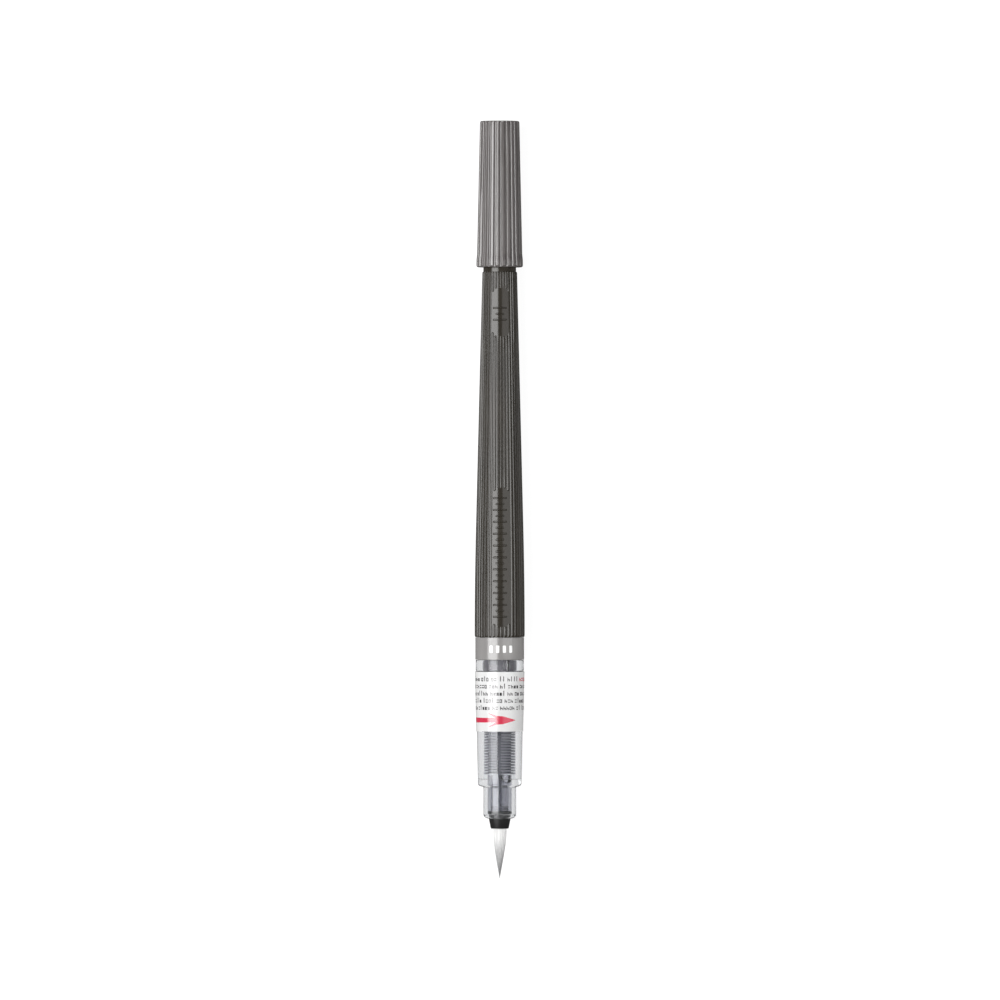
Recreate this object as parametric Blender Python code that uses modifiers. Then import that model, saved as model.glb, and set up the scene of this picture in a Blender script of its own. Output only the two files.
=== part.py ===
"""A lettering brush pen: a squeeze barrel of ink screwed into a clear brush head, its cap posted on the tail.

Units are metres.  Every piece is modelled in the pen's own frame: the origin is at the brush tip, +Z runs
along the pen to the tail, and -Y is the front, the side with the smooth panels.  One empty then lays the
pen down, so that in the world it lies along +Y on the plane z = 0 with its front facing up.
"""
import math

import bmesh
import bpy

# ---------------------------------------------------------------- lengths along the pen
TUFT_LENGTH = 0.0130            # bristles ahead of the ferrule
FERRULE_LENGTH = 0.0026         # black tip ahead of the nose
NOSE_LENGTH = 0.0082            # narrow front of the clear housing, where the cap fits
SHOULDER_LENGTH = 0.0009        # step from the nose up to the window
WINDOW_LENGTH = 0.0136          # clear tube between the shoulder and the label
LABEL_LENGTH = 0.0155
STOP_RING_LENGTH = 0.0028       # also the travel it holds back: without it the cartridge screws in this far
COLOR_RING_LENGTH = 0.0058
GRIP_LENGTH = 0.0949            # ribbed part of the barrel
BARE_TAIL_LENGTH = 0.0012       # smooth tail left showing below the posted cap
CAP_LENGTH = 0.0380
TAIL_IN_CAP = 0.0092            # how deep the tail reaches into the posted cap

# ---------------------------------------------------------------- gaps between pieces
SEAM = 0.0001                   # end to end, where two pieces touch
SLIP = 0.00015                  # radial, a piece inside another
THREAD_CLEARANCE = 0.00015
LABEL_GLUE = 0.00004            # radial, label on housing

# ---------------------------------------------------------------- brush and tip
FEED_ROD_RADIUS = 0.00055
FEED_TUBE_WALL = 0.00040
TUFT_RADIUS = 0.00178
FERRULE_LIP = 0.00045           # wall of the ferrule at its front face
FERRULE_TAPER = 0.00050         # how much the ferrule widens to the nose
FERRULE_FLANGE = 0.00032        # step that keeps the ferrule behind the nose
FLANGE_THICKNESS = 0.0007
TUFT_ROOT_LENGTH = 0.0012       # fused end of the bristles
TUFT_ROOT_FLARE = 0.00030
HOLDER_WALL = 0.0009
NOTCH_RADIUS = 0.00125          # round notches in the holder's rear end
NOTCH_DEPTH = 0.0021
NOTCH_TURN = math.radians(38)

# ---------------------------------------------------------------- clear housing
NOSE_WALL = 0.00095
NOSE_LIP_LENGTH = 0.0011        # inward lip at the very front
NOSE_ROUND = 0.0012
SHOULDER_ROUND = 0.0005
WINDOW_WALL = 0.00140
HOUSING_WALL = 0.00128          # round the socket
LABEL_THICKNESS = 0.00012

# ---------------------------------------------------------------- collector and ink way
COLLECTOR_RADIUS = 0.0041
COLLECTOR_HUB_RADIUS = 0.0021
FIN_PITCH = 0.000715
FIN_THICKNESS = 0.00036
SLOT_WIDTH = 0.0010             # air slit along the fins
SEAT_THICKNESS = 0.0009         # disc that carries the piercing tube
TUBE_WALL = 0.00055
TUBE_SHORT_OF_BALL = 0.0008     # free space between the tube's tip and the ball
TUBE_TIP_SLANT = math.radians(35)
GASKET_RADIUS = 0.00035         # of its round section

# ---------------------------------------------------------------- cartridge neck
BALL_RADIUS = 0.0019
PLUG_WALL = 0.00095
PLUG_FLANGE_LENGTH = 0.0007
PLUG_LENGTH = 0.0085            # inside the neck
NECK_WALL = 0.00125
NECK_IN_SOCKET = 0.0098
THREAD_HEIGHT = 0.00045
THREAD_PITCH = 0.0020
THREAD_BASE = 0.0008            # width of the ridge at its foot
THREAD_CREST = 0.0004
THREAD_TURNS = 2
COLLAR_STEP = 0.00055           # collar that the colour ring sits on
COLOR_RING_PROUD = 0.00005      # colour ring over the housing's rim
STOP_RING_BACK = 0.00004        # stop ring under the housing's rim
STOP_RING_SLIT = 0.0005
STOP_RING_SLIT_TURN = math.radians(20)
RING_LIP = 0.0009

# ---------------------------------------------------------------- barrel
GRIP_RIBS = 40
GRIP_RIB_HEIGHT = 0.00020
GRIP_CREST_SHARE = 0.46         # of a rib's pitch
GRIP_PROUD = 0.00018            # ribs over the colour ring
GRIP_CHAMFER = 0.0006
GRIP_EASE = 0.30                # share of the grip over which its taper sets in
BARREL_WALL = 0.0009
TAIL_STEP = 0.00008             # from the tail up to the grooves
TAIL_WALL = 0.0009
TAIL_ROUND = 0.0010
PANEL_RAMP = 0.0002             # length of the ribs' end faces
LONG_PANEL_LENGTH = 0.0360
LONG_PANEL_HALF_WIDTH = 0.0026
LONG_PANEL_FROM_FRONT = 0.0027
SHORT_PANEL_LENGTH = 0.0124
SHORT_PANEL_HALF_WIDTH = 0.0023
SHORT_PANEL_FROM_REAR = 0.0043

# ---------------------------------------------------------------- cap
CAP_RIBS = 24
CAP_RIB_HEIGHT = 0.00032
CAP_CREST_SHARE = 0.44
CAP_GROOVE_SHARE = 0.16
CAP_TURN = math.radians(-4)     # the way the cap happens to sit
CAP_CLEARANCE = 0.00020         # radial, over the nose and the tail
CAP_MOUTH_WALL = 0.00130
CAP_TOP_WALL = 0.00085
CAP_END_WALL = 0.0016
CAP_LIP_LENGTH = 0.0018         # flare round the mouth
CAP_LIP_FLARE = 0.00012
CAP_CHAMFER = 0.0005
LINER_BORE = 0.00325
LINER_WALL = 0.00055
LINER_BEHIND_TAIL = 0.0010      # free space between the posted tail and the liner

ROUND_STEPS = 32
SMALL_STEPS = 20
CUT_MARGIN = 0.001              # how far a cutter runs past what it cuts
OVERLAP = 0.0002                # how deep joined shapes run into each other
MERGE = 1e-6
SMOOTH_ANGLE = math.radians(35)

# ---------------------------------------------------------------- stations, from the brush tip
FERRULE_FRONT = TUFT_LENGTH
NOSE_FRONT = FERRULE_FRONT + FERRULE_LENGTH
SHOULDER_FRONT = NOSE_FRONT + NOSE_LENGTH
WINDOW_FRONT = SHOULDER_FRONT + SHOULDER_LENGTH
LABEL_FRONT = WINDOW_FRONT + WINDOW_LENGTH
HOUSING_REAR = LABEL_FRONT + LABEL_LENGTH + SEAM
STOP_RING_FRONT = HOUSING_REAR + SEAM
COLOR_RING_FRONT = STOP_RING_FRONT + STOP_RING_LENGTH + SEAM
GRIP_FRONT = COLOR_RING_FRONT + COLOR_RING_LENGTH + SEAM
GRIP_REAR = GRIP_FRONT + GRIP_LENGTH
CAP_MOUTH = GRIP_REAR + BARE_TAIL_LENGTH
TAIL_END = CAP_MOUTH + TAIL_IN_CAP
CAP_TOP = CAP_MOUTH + CAP_LENGTH
NECK_FRONT = HOUSING_REAR - NECK_IN_SOCKET
PLUG_FRONT = NECK_FRONT - SEAM - PLUG_FLANGE_LENGTH
GASKET_STATION = PLUG_FRONT - STOP_RING_LENGTH - SEAM - GASKET_RADIUS
SOCKET_FLOOR = GASKET_STATION - GASKET_RADIUS - SEAM - SEAT_THICKNESS - SEAM
PLUG_REAR = NECK_FRONT + PLUG_LENGTH
BALL_STATION = PLUG_REAR - BALL_RADIUS / 2
TUBE_TIP = BALL_STATION - BALL_RADIUS - TUBE_SHORT_OF_BALL
FLANGE_FRONT = NOSE_FRONT + NOSE_LIP_LENGTH + SEAM
FLANGE_REAR = FLANGE_FRONT + FLANGE_THICKNESS
TUFT_ROOT_REAR = FLANGE_REAR + SEAM + TUFT_ROOT_LENGTH
HOLDER_REAR = SHOULDER_FRONT + SHOULDER_LENGTH + 2 * NOSE_ROUND
COLLECTOR_FRONT = HOLDER_REAR + SEAM

# ---------------------------------------------------------------- radii, from the inside out
ROD_BORE = FEED_ROD_RADIUS + SLIP
FERRULE_BORE = TUFT_RADIUS + SEAM
FERRULE_FRONT_RADIUS = FERRULE_BORE + FERRULE_LIP
FERRULE_REAR_RADIUS = FERRULE_FRONT_RADIUS + FERRULE_TAPER
FLANGE_RADIUS = FERRULE_REAR_RADIUS + FERRULE_FLANGE
NOSE_HOLE = FERRULE_REAR_RADIUS + SLIP
NOSE_BORE = FLANGE_RADIUS + SLIP
NOSE_RADIUS = NOSE_BORE + NOSE_WALL
COLLECTOR_BORE = COLLECTOR_RADIUS + SLIP
WINDOW_RADIUS = COLLECTOR_BORE + WINDOW_WALL
PLUG_BORE = BALL_RADIUS + SLIP
PLUG_RADIUS = PLUG_BORE + PLUG_WALL
NECK_BORE = PLUG_RADIUS + SLIP
NECK_RADIUS = NECK_BORE + NECK_WALL
THREAD_RADIUS = NECK_RADIUS + THREAD_HEIGHT
SOCKET_RADIUS = THREAD_RADIUS + THREAD_CLEARANCE
RIM_RADIUS = SOCKET_RADIUS + HOUSING_WALL
COLLAR_RADIUS = NECK_RADIUS + COLLAR_STEP
STOP_RING_RADIUS = RIM_RADIUS - STOP_RING_BACK
COLOR_RING_RADIUS = RIM_RADIUS + COLOR_RING_PROUD
GRIP_FRONT_RADIUS = COLOR_RING_RADIUS + GRIP_PROUD
TAIL_RADIUS = NOSE_RADIUS       # the cap fits both
GRIP_REAR_RADIUS = TAIL_RADIUS + TAIL_STEP + GRIP_RIB_HEIGHT
CAP_BORE = NOSE_RADIUS + CAP_CLEARANCE
LINER_RADIUS = LINER_BORE + LINER_WALL
LINER_SEAT = LINER_RADIUS + SLIP
CAP_MOUTH_RADIUS = CAP_BORE + CAP_MOUTH_WALL + CAP_RIB_HEIGHT
CAP_TOP_RADIUS = LINER_SEAT + CAP_TOP_WALL + CAP_RIB_HEIGHT

# The barrel is turned by half a rib, so that the pen lies steadily on the edges of its two lowest ribs.
GRIP_TURN = math.pi / GRIP_RIBS
AXIS_HEIGHT = GRIP_FRONT_RADIUS * math.cos(GRIP_TURN * (1.0 - GRIP_CREST_SHARE))


# ---------------------------------------------------------------- scene helpers
def clear_scene():
    for old in list(bpy.data.objects):
        bpy.data.objects.remove(old)


def make_collection(name):
    collection = bpy.data.collections.new(name)
    bpy.context.scene.collection.children.link(collection)
    return collection


def make_material(name, color, roughness, metallic=0.0, alpha=1.0):
    material = bpy.data.materials.new(name)
    material.use_nodes = True
    shader = material.node_tree.nodes["Principled BSDF"]
    shader.inputs["Base Color"].default_value = (*color, 1.0)
    shader.inputs["Roughness"].default_value = roughness
    shader.inputs["Metallic"].default_value = metallic
    shader.inputs["Alpha"].default_value = alpha
    return material


def add_object(name, mesh):
    """A mesh object in the pen's frame, among the parts."""
    piece = bpy.data.objects.new(name, mesh)
    PARTS.objects.link(piece)
    piece.parent = PEN
    return piece


def bake(piece):
    """Replaces a piece's modifiers by the mesh that they make."""
    bpy.context.view_layer.update()
    graph = bpy.context.evaluated_depsgraph_get()
    piece.data = bpy.data.meshes.new_from_object(piece.evaluated_get(graph))
    piece.modifiers.clear()


def finish(piece, material):
    """Bakes the piece, shades its round faces smooth and gives it its material."""
    bake(piece)
    piece.data.shade_smooth()
    piece.data.set_sharp_from_angle(angle=SMOOTH_ANGLE)
    piece.data.materials.clear()
    piece.data.materials.append(material)
    return piece


def boolean(piece, other, operation):
    """Cuts or joins another object, which then serves only as a helper."""
    modifier = piece.modifiers.new(operation.title(), "BOOLEAN")
    modifier.object = other
    modifier.operation = operation
    PARTS.objects.unlink(other)
    HELPERS.objects.link(other)
    other.hide_render = True
    other.display_type = "WIRE"


# ---------------------------------------------------------------- shape helpers
def turned(name, profile, steps=ROUND_STEPS, closed=True):
    """A profile of (radius, station) turned round the pen's axis.

    It runs down its outer side, from the tail to the tip, and back up its inner side.  A solid piece has
    an open profile, which starts and ends on the axis.
    """
    mesh = bpy.data.meshes.new(name)
    corners = [(radius, 0.0, station) for radius, station in profile]
    edges = [(i, i + 1) for i in range(len(corners) - 1)]
    if closed:
        edges.append((len(corners) - 1, 0))
    mesh.from_pydata(corners, edges, [])
    piece = add_object(name, mesh)
    screw = piece.modifiers.new("Turn", "SCREW")
    screw.steps = steps
    screw.render_steps = steps
    screw.use_merge_vertices = True
    screw.merge_threshold = MERGE
    return piece


def helical_ridge(name, foot_radius, crest_radius, start, turns):
    """A right-handed thread ridge, a trapezium swept round the axis, with closed ends."""
    foot, crest = THREAD_BASE / 2, THREAD_CREST / 2
    section = [(foot_radius, foot), (crest_radius, crest), (crest_radius, -crest), (foot_radius, -foot)]
    if crest_radius > foot_radius:
        section.reverse()
    ridge = turned(name, [(radius, start + rise) for radius, rise in section], SMALL_STEPS)
    screw = ridge.modifiers["Turn"]
    screw.screw_offset = THREAD_PITCH
    screw.iterations = turns
    bake(ridge)
    sweep = bmesh.new()
    sweep.from_mesh(ridge.data)
    bmesh.ops.holes_fill(sweep, edges=sweep.edges, sides=len(section))
    bmesh.ops.recalc_face_normals(sweep, faces=sweep.faces)
    sweep.to_mesh(ridge.data)
    sweep.free()
    return ridge


def place_primitive(name, location, rotation=(0.0, 0.0, 0.0), size=(1.0, 1.0, 1.0)):
    """Takes the primitive that was just added among the parts, at its place in the pen's frame."""
    piece = bpy.context.object
    for old in piece.users_collection:
        old.objects.unlink(piece)
    PARTS.objects.link(piece)
    piece.name = name
    piece.location = location
    piece.rotation_euler = rotation
    piece.scale = size
    piece.parent = PEN
    return piece


def box_cutter(name, size, location, rotation=(0.0, 0.0, 0.0)):
    bpy.ops.mesh.primitive_cube_add(size=1.0)
    return place_primitive(name, location, rotation, size)


def rod_cutter(name, radius, length, location, rotation):
    bpy.ops.mesh.primitive_cylinder_add(vertices=SMALL_STEPS, radius=radius, depth=length)
    return place_primitive(name, location, rotation)


def rib_ring(station, crest_radius, rib_height, ribs, turn, corners, is_smooth):
    """One cross-section of a ribbed sleeve, as points.  Rib 0 faces the front, then all is turned.

    corners holds (share of a pitch, True on the crest) for the points of one rib, and is_smooth says of
    an angle from rib 0 that no rib stands there.
    """
    pitch = 2 * math.pi / ribs
    ring = []
    for rib in range(ribs):
        for share, on_crest in corners:
            angle = (rib + share) * pitch
            raised = on_crest and not is_smooth(angle)
            radius = crest_radius if raised else crest_radius - rib_height
            ring.append((radius * math.sin(angle + turn), -radius * math.cos(angle + turn), station))
    return ring


def loft(name, rings):
    """A closed solid through rings with the same number of points, listed from the tip to the tail."""
    mesh = bpy.data.meshes.new(name)
    count = len(rings[0])
    faces = [list(reversed(range(count)))]
    for level in range(len(rings) - 1):
        low, high = level * count, (level + 1) * count
        for i in range(count):
            j = (i + 1) % count
            faces.append([low + i, low + j, high + j, high + i])
    faces.append(list(range((len(rings) - 1) * count, len(rings) * count)))
    mesh.from_pydata([point for ring in rings for point in ring], [], faces)
    return add_object(name, mesh)


def arc(center_radius, center_station, radius, start, end, points=4):
    """Points (radius, station) on an arc of a profile.  Angles are in degrees, 0 outward, 90 to the tail."""
    turns = [math.radians(start + (end - start) * i / (points - 1)) for i in range(points)]
    return [(center_radius + radius * math.cos(t), center_station + radius * math.sin(t)) for t in turns]


def between(low, high, share):
    return low + (high - low) * share


# ---------------------------------------------------------------- brush head
def housing_radius(station):
    """Outer radius of the clear housing behind its shoulder."""
    return between(WINDOW_RADIUS, RIM_RADIUS, (station - WINDOW_FRONT) / (HOUSING_REAR - WINDOW_FRONT))


def make_front_housing():
    """Clear shell: a nose for the cap, a window on the collector and a threaded socket for the cartridge."""
    outside = [
        (RIM_RADIUS, HOUSING_REAR),
        (housing_radius(LABEL_FRONT), LABEL_FRONT),
        (WINDOW_RADIUS, WINDOW_FRONT + SHOULDER_ROUND),
        *arc(WINDOW_RADIUS - SHOULDER_ROUND, WINDOW_FRONT + SHOULDER_ROUND, SHOULDER_ROUND, -20, -70, 3),
        (NOSE_RADIUS, SHOULDER_FRONT),
        *arc(NOSE_RADIUS - NOSE_ROUND, NOSE_FRONT + NOSE_ROUND, NOSE_ROUND, 0, -80),
        (NOSE_HOLE, NOSE_FRONT),
    ]
    inside = [
        (NOSE_HOLE, NOSE_FRONT + NOSE_LIP_LENGTH),
        (NOSE_BORE, NOSE_FRONT + NOSE_LIP_LENGTH),
        (NOSE_BORE, COLLECTOR_FRONT - SEAM),
        (COLLECTOR_BORE, COLLECTOR_FRONT - SEAM),
        (COLLECTOR_BORE, SOCKET_FLOOR),
        (SOCKET_RADIUS, SOCKET_FLOOR),
        (SOCKET_RADIUS, HOUSING_REAR),
    ]
    housing = turned("front_housing", outside + inside)
    start = HOUSING_REAR - THREAD_BASE - THREAD_TURNS * THREAD_PITCH
    foot = SOCKET_RADIUS + OVERLAP
    crest = SOCKET_RADIUS - THREAD_HEIGHT
    ridge = helical_ridge("socket_thread", foot, crest, start, THREAD_TURNS)
    boolean(housing, ridge, "UNION")
    return finish(housing, CLEAR)


def make_label_wrap():
    front, rear = LABEL_FRONT, LABEL_FRONT + LABEL_LENGTH
    glue = [(housing_radius(station) + LABEL_GLUE, station) for station in (front, rear)]
    face = [(radius + LABEL_THICKNESS, station) for radius, station in reversed(glue)]
    return finish(turned("label_wrap", face + glue), LABEL)


def make_ink_collector():
    """A finned hub that takes up the ink when the barrel warms or is squeezed, with an air slit."""
    room = SOCKET_FLOOR - SEAM - COLLECTOR_FRONT
    fins = int((room - FIN_THICKNESS) / FIN_PITCH) + 1
    profile = [(COLLECTOR_HUB_RADIUS, COLLECTOR_FRONT + room)]
    for fin in reversed(range(fins)):
        front = COLLECTOR_FRONT + fin * FIN_PITCH
        rear = front + FIN_THICKNESS
        profile += [(COLLECTOR_HUB_RADIUS, rear), (COLLECTOR_RADIUS, rear)]
        profile += [(COLLECTOR_RADIUS, front), (COLLECTOR_HUB_RADIUS, front)]
    profile += [(ROD_BORE, COLLECTOR_FRONT), (ROD_BORE, COLLECTOR_FRONT + room)]
    collector = turned("ink_collector", profile, SMALL_STEPS)
    depth = COLLECTOR_RADIUS - COLLECTOR_HUB_RADIUS
    middle = -(COLLECTOR_HUB_RADIUS + depth / 2 + CUT_MARGIN / 2)
    size = (SLOT_WIDTH, depth + CUT_MARGIN, room + CUT_MARGIN)
    slit = box_cutter("air_slit", size, (0.0, middle, COLLECTOR_FRONT + room / 2))
    boolean(collector, slit, "DIFFERENCE")
    return finish(collector, COLLECTOR)


def make_tube_seat():
    """Disc in the floor of the socket, which carries the piercing tube."""
    rear = SOCKET_FLOOR + SEAM + SEAT_THICKNESS
    rim = SOCKET_RADIUS - SLIP
    bore = ROD_BORE + TUBE_WALL + SLIP
    profile = [(rim, rear), (rim, SOCKET_FLOOR + SEAM), (bore, SOCKET_FLOOR + SEAM), (bore, rear)]
    return finish(turned("tube_seat", profile), HOLDER)


def make_piercing_tube():
    """Hollow spike with a slanted tip, which pushes the ball out of the cartridge's neck."""
    front, radius = SOCKET_FLOOR + SEAM, ROD_BORE + TUBE_WALL
    profile = [(radius, TUBE_TIP), (radius, front), (ROD_BORE, front), (ROD_BORE, TUBE_TIP)]
    tube = turned("piercing_tube", profile, SMALL_STEPS)
    slant, block = TUBE_TIP_SLANT, 6 * radius
    # The block's near face passes through the tip's edge and leans back over the bore.
    height = TUBE_TIP - radius * math.tan(slant) + block / 2 * math.cos(slant)
    middle = (0.0, block / 2 * math.sin(slant), height)
    cutter = box_cutter("slanted_tip", (block, block, block), middle, (-slant, 0.0, 0.0))
    boolean(tube, cutter, "DIFFERENCE")
    return finish(tube, HOLDER)


def make_neck_gasket():
    bpy.ops.mesh.primitive_torus_add(
        major_radius=between(PLUG_BORE, PLUG_RADIUS, 0.5), minor_radius=GASKET_RADIUS,
        major_segments=ROUND_STEPS, minor_segments=8)
    return finish(place_primitive("neck_gasket", (0.0, 0.0, GASKET_STATION)), RUBBER)


def make_feed_rod():
    """Porous rod that leads the ink from the tube, through the collector, into the bristles."""
    front, rear = FERRULE_FRONT + SEAM, SOCKET_FLOOR + SEAT_THICKNESS
    profile = [(0.0, rear), (FEED_ROD_RADIUS, rear), (FEED_ROD_RADIUS, front), (0.0, front)]
    return finish(turned("feed_rod", profile, SMALL_STEPS, closed=False), FIBRE)


def make_feed_tube():
    """Thin tube round the feed rod, through the hollow of the brush holder."""
    front, rear = TUFT_ROOT_REAR + SEAM, COLLECTOR_FRONT - SEAM
    radius = ROD_BORE + FEED_TUBE_WALL
    profile = [(radius, rear), (radius, front), (ROD_BORE, front), (ROD_BORE, rear)]
    return finish(turned("feed_tube", profile, SMALL_STEPS), FIBRE)


def make_brush_holder():
    """Sleeve in the nose that presses the ferrule forward, with two round notches in its rear end."""
    front, rear = FLANGE_REAR + SEAM, HOLDER_REAR - SEAM
    inner = FLANGE_RADIUS - HOLDER_WALL
    profile = [(FLANGE_RADIUS, rear), (FLANGE_RADIUS, front), (inner, front), (inner, rear)]
    holder = turned("brush_holder", profile)
    station = HOLDER_REAR - NOTCH_DEPTH + NOTCH_RADIUS
    across = 2 * (FLANGE_RADIUS + CUT_MARGIN)
    notch = rod_cutter("notches", NOTCH_RADIUS, across, (0.0, 0.0, station), (math.pi / 2, 0.0, NOTCH_TURN))
    boolean(holder, notch, "DIFFERENCE")
    return finish(holder, HOLDER)


def make_ferrule():
    profile = [
        (FLANGE_RADIUS, FLANGE_REAR),
        (FLANGE_RADIUS, FLANGE_FRONT),
        (FERRULE_REAR_RADIUS, FLANGE_FRONT),
        (FERRULE_REAR_RADIUS, NOSE_FRONT),
        (FERRULE_FRONT_RADIUS, FERRULE_FRONT),
        (FERRULE_BORE, FERRULE_FRONT),
        (FERRULE_BORE, FLANGE_REAR),
    ]
    return finish(turned("ferrule", profile), BLACK)


def make_tuft_root():
    """Fused end of the bristles, wider than the ferrule's bore so that they can't pull out."""
    front, rear = FLANGE_REAR + SEAM, TUFT_ROOT_REAR
    radius = min(FERRULE_BORE + TUFT_ROOT_FLARE, FLANGE_RADIUS - HOLDER_WALL - SEAM)
    profile = [(radius, rear), (radius, front), (ROD_BORE, front), (ROD_BORE, rear)]
    return finish(turned("tuft_root", profile, SMALL_STEPS), BRISTLE)


def make_brush_tuft():
    """The bristles as one body with the outline that they make together, hollow round the feed rod."""
    shoulder = between(0.0, FERRULE_FRONT, 0.80)
    belly = between(0.0, FERRULE_FRONT, 0.52)
    thin = between(0.0, FERRULE_FRONT, 0.22)
    profile = [
        (ROD_BORE, FLANGE_REAR),
        (TUFT_RADIUS, FLANGE_REAR),
        (TUFT_RADIUS, FERRULE_FRONT),
        (0.95 * TUFT_RADIUS, shoulder),
        (0.71 * TUFT_RADIUS, belly),
        (0.27 * TUFT_RADIUS, thin),
        (0.0, 0.0),
    ]
    tuft = turned("brush_tuft", [*profile, (0.0, FERRULE_FRONT), (ROD_BORE, FERRULE_FRONT)], SMALL_STEPS)
    return finish(tuft, BRISTLE)


# ---------------------------------------------------------------- cartridge
def make_stop_ring():
    """Clear split ring that holds the new cartridge off the piercing tube.  It is pulled off before use."""
    front, rear = STOP_RING_FRONT, STOP_RING_FRONT + STOP_RING_LENGTH
    inner = NECK_RADIUS + 2 * SLIP
    profile = [(STOP_RING_RADIUS, rear), (STOP_RING_RADIUS, front), (inner, front), (inner, rear)]
    ring = turned("stop_ring", profile)
    depth = STOP_RING_RADIUS - inner + 2 * CUT_MARGIN
    reach, turn = between(inner, STOP_RING_RADIUS, 0.5), STOP_RING_SLIT_TURN
    place = (reach * math.sin(turn), -reach * math.cos(turn), between(front, rear, 0.5))
    size = (STOP_RING_SLIT, depth, STOP_RING_LENGTH + CUT_MARGIN)
    slit = box_cutter("ring_slit", size, place, (0.0, 0.0, turn))
    boolean(ring, slit, "DIFFERENCE")
    return finish(ring, CLEAR)


def make_color_ring():
    """Sleeve on the neck's collar that shows the ink's colour, with a lip over the collar's front."""
    front, rear = COLOR_RING_FRONT, COLOR_RING_FRONT + COLOR_RING_LENGTH
    profile = [
        (COLOR_RING_RADIUS, rear),
        (COLOR_RING_RADIUS, front),
        (NECK_RADIUS + SLIP, front),
        (NECK_RADIUS + SLIP, front + RING_LIP),
        (COLLAR_RADIUS + SLIP, front + RING_LIP),
        (COLLAR_RADIUS + SLIP, rear),
    ]
    return finish(turned("color_ring", profile), RING)


def grip_radius(station):
    """Crest radius of the barrel: it starts level, eases into the taper and ends as a straight cone."""
    share = min(max((station - GRIP_FRONT) / GRIP_LENGTH, 0.0), 1.0)
    fall = share - GRIP_EASE / 2 if share > GRIP_EASE else share ** 2 / (2 * GRIP_EASE)
    return between(GRIP_FRONT_RADIUS, GRIP_REAR_RADIUS, fall / (1.0 - GRIP_EASE / 2))


def make_grip():
    """The ribbed outside of the barrel.  The ribs stop at a long and a short smooth panel on the front."""
    long_front = GRIP_FRONT + LONG_PANEL_FROM_FRONT
    long_rear = long_front + LONG_PANEL_LENGTH
    short_rear = GRIP_REAR - SHORT_PANEL_FROM_REAR
    short_front = short_rear - SHORT_PANEL_LENGTH

    def smooth_at(station):
        """A test of an angle: does it lie on a panel at this station?"""
        half_width = 0.0
        if long_front < station < long_rear:
            half_width = LONG_PANEL_HALF_WIDTH
        if short_front < station < short_rear:
            half_width = SHORT_PANEL_HALF_WIDTH
        limit = math.cos(math.asin(half_width / grip_radius(station)))
        return lambda angle: math.cos(angle) > limit

    def ring(station, crest_radius, rib_height):
        return rib_ring(station, crest_radius, rib_height, GRIP_RIBS, GRIP_TURN, corners, smooth_at(station))

    half = GRIP_CREST_SHARE / 2
    corners = [(-half, True), (half, True), (0.5, False)]
    plain = [GRIP_FRONT + GRIP_CHAMFER, between(long_front, long_rear, 0.5)]
    plain += [between(long_rear, short_front, share) for share in (0.33, 0.67)]
    plain.append(between(short_rear, GRIP_REAR, 0.5))
    ends = []
    for front, rear in ((long_front, long_rear), (short_front, short_rear)):
        ends += [front - PANEL_RAMP, front + MERGE, rear - MERGE, rear + PANEL_RAMP]
    rings = [ring(GRIP_FRONT, GRIP_FRONT_RADIUS - GRIP_RIB_HEIGHT, 0.0)]
    rings += [ring(station, grip_radius(station), GRIP_RIB_HEIGHT) for station in sorted(plain + ends)]
    rings.append(ring(GRIP_REAR, GRIP_REAR_RADIUS, GRIP_RIB_HEIGHT))
    return loft("ink_barrel", rings)


def make_ink_barrel():
    """Squeeze barrel: ribbed grip, closed tail for the posted cap, and a threaded neck in front."""
    barrel = make_grip()
    core_station = GRIP_FRONT + GRIP_CHAMFER + OVERLAP
    neck = turned("neck", [
        (0.0, core_station),
        (COLLAR_RADIUS, core_station),
        (COLLAR_RADIUS, COLOR_RING_FRONT + RING_LIP + SEAM),
        (NECK_RADIUS, COLOR_RING_FRONT + RING_LIP + SEAM),
        (NECK_RADIUS, NECK_FRONT),
        (0.0, NECK_FRONT),
    ], closed=False)
    bake(neck)
    start = HOUSING_REAR - THREAD_BASE - (THREAD_TURNS + 0.5) * THREAD_PITCH
    ridge = helical_ridge("neck_thread", NECK_RADIUS - OVERLAP, THREAD_RADIUS, start, THREAD_TURNS)
    boolean(neck, ridge, "UNION")
    tail = turned("tail", [
        (0.0, TAIL_END),
        *arc(TAIL_RADIUS - TAIL_ROUND, TAIL_END - TAIL_ROUND, TAIL_ROUND, 90, 0),
        (TAIL_RADIUS, GRIP_REAR - OVERLAP),
        (0.0, GRIP_REAR - OVERLAP),
    ], closed=False)
    wall = GRIP_RIB_HEIGHT + BARREL_WALL
    front = GRIP_FRONT + BARREL_WALL
    widest = front + (grip_radius(front) - wall - NECK_BORE) / 2
    middle = between(GRIP_FRONT, GRIP_REAR, 0.5)
    bore = TAIL_RADIUS - TAIL_WALL
    hollow = turned("hollow", [
        (0.0, TAIL_END - TAIL_WALL),
        (bore - TAIL_ROUND / 2, TAIL_END - TAIL_WALL),
        (bore, TAIL_END - TAIL_WALL - TAIL_ROUND / 2),
        (bore, GRIP_REAR - TAIL_WALL),
        (grip_radius(middle) - wall, middle),
        (grip_radius(widest) - wall, widest),
        (NECK_BORE, front),
        (NECK_BORE, NECK_FRONT - CUT_MARGIN),
        (0.0, NECK_FRONT - CUT_MARGIN),
    ], closed=False)
    boolean(barrel, neck, "UNION")
    boolean(barrel, tail, "UNION")
    boolean(barrel, hollow, "DIFFERENCE")
    return finish(barrel, BARREL)


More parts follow.
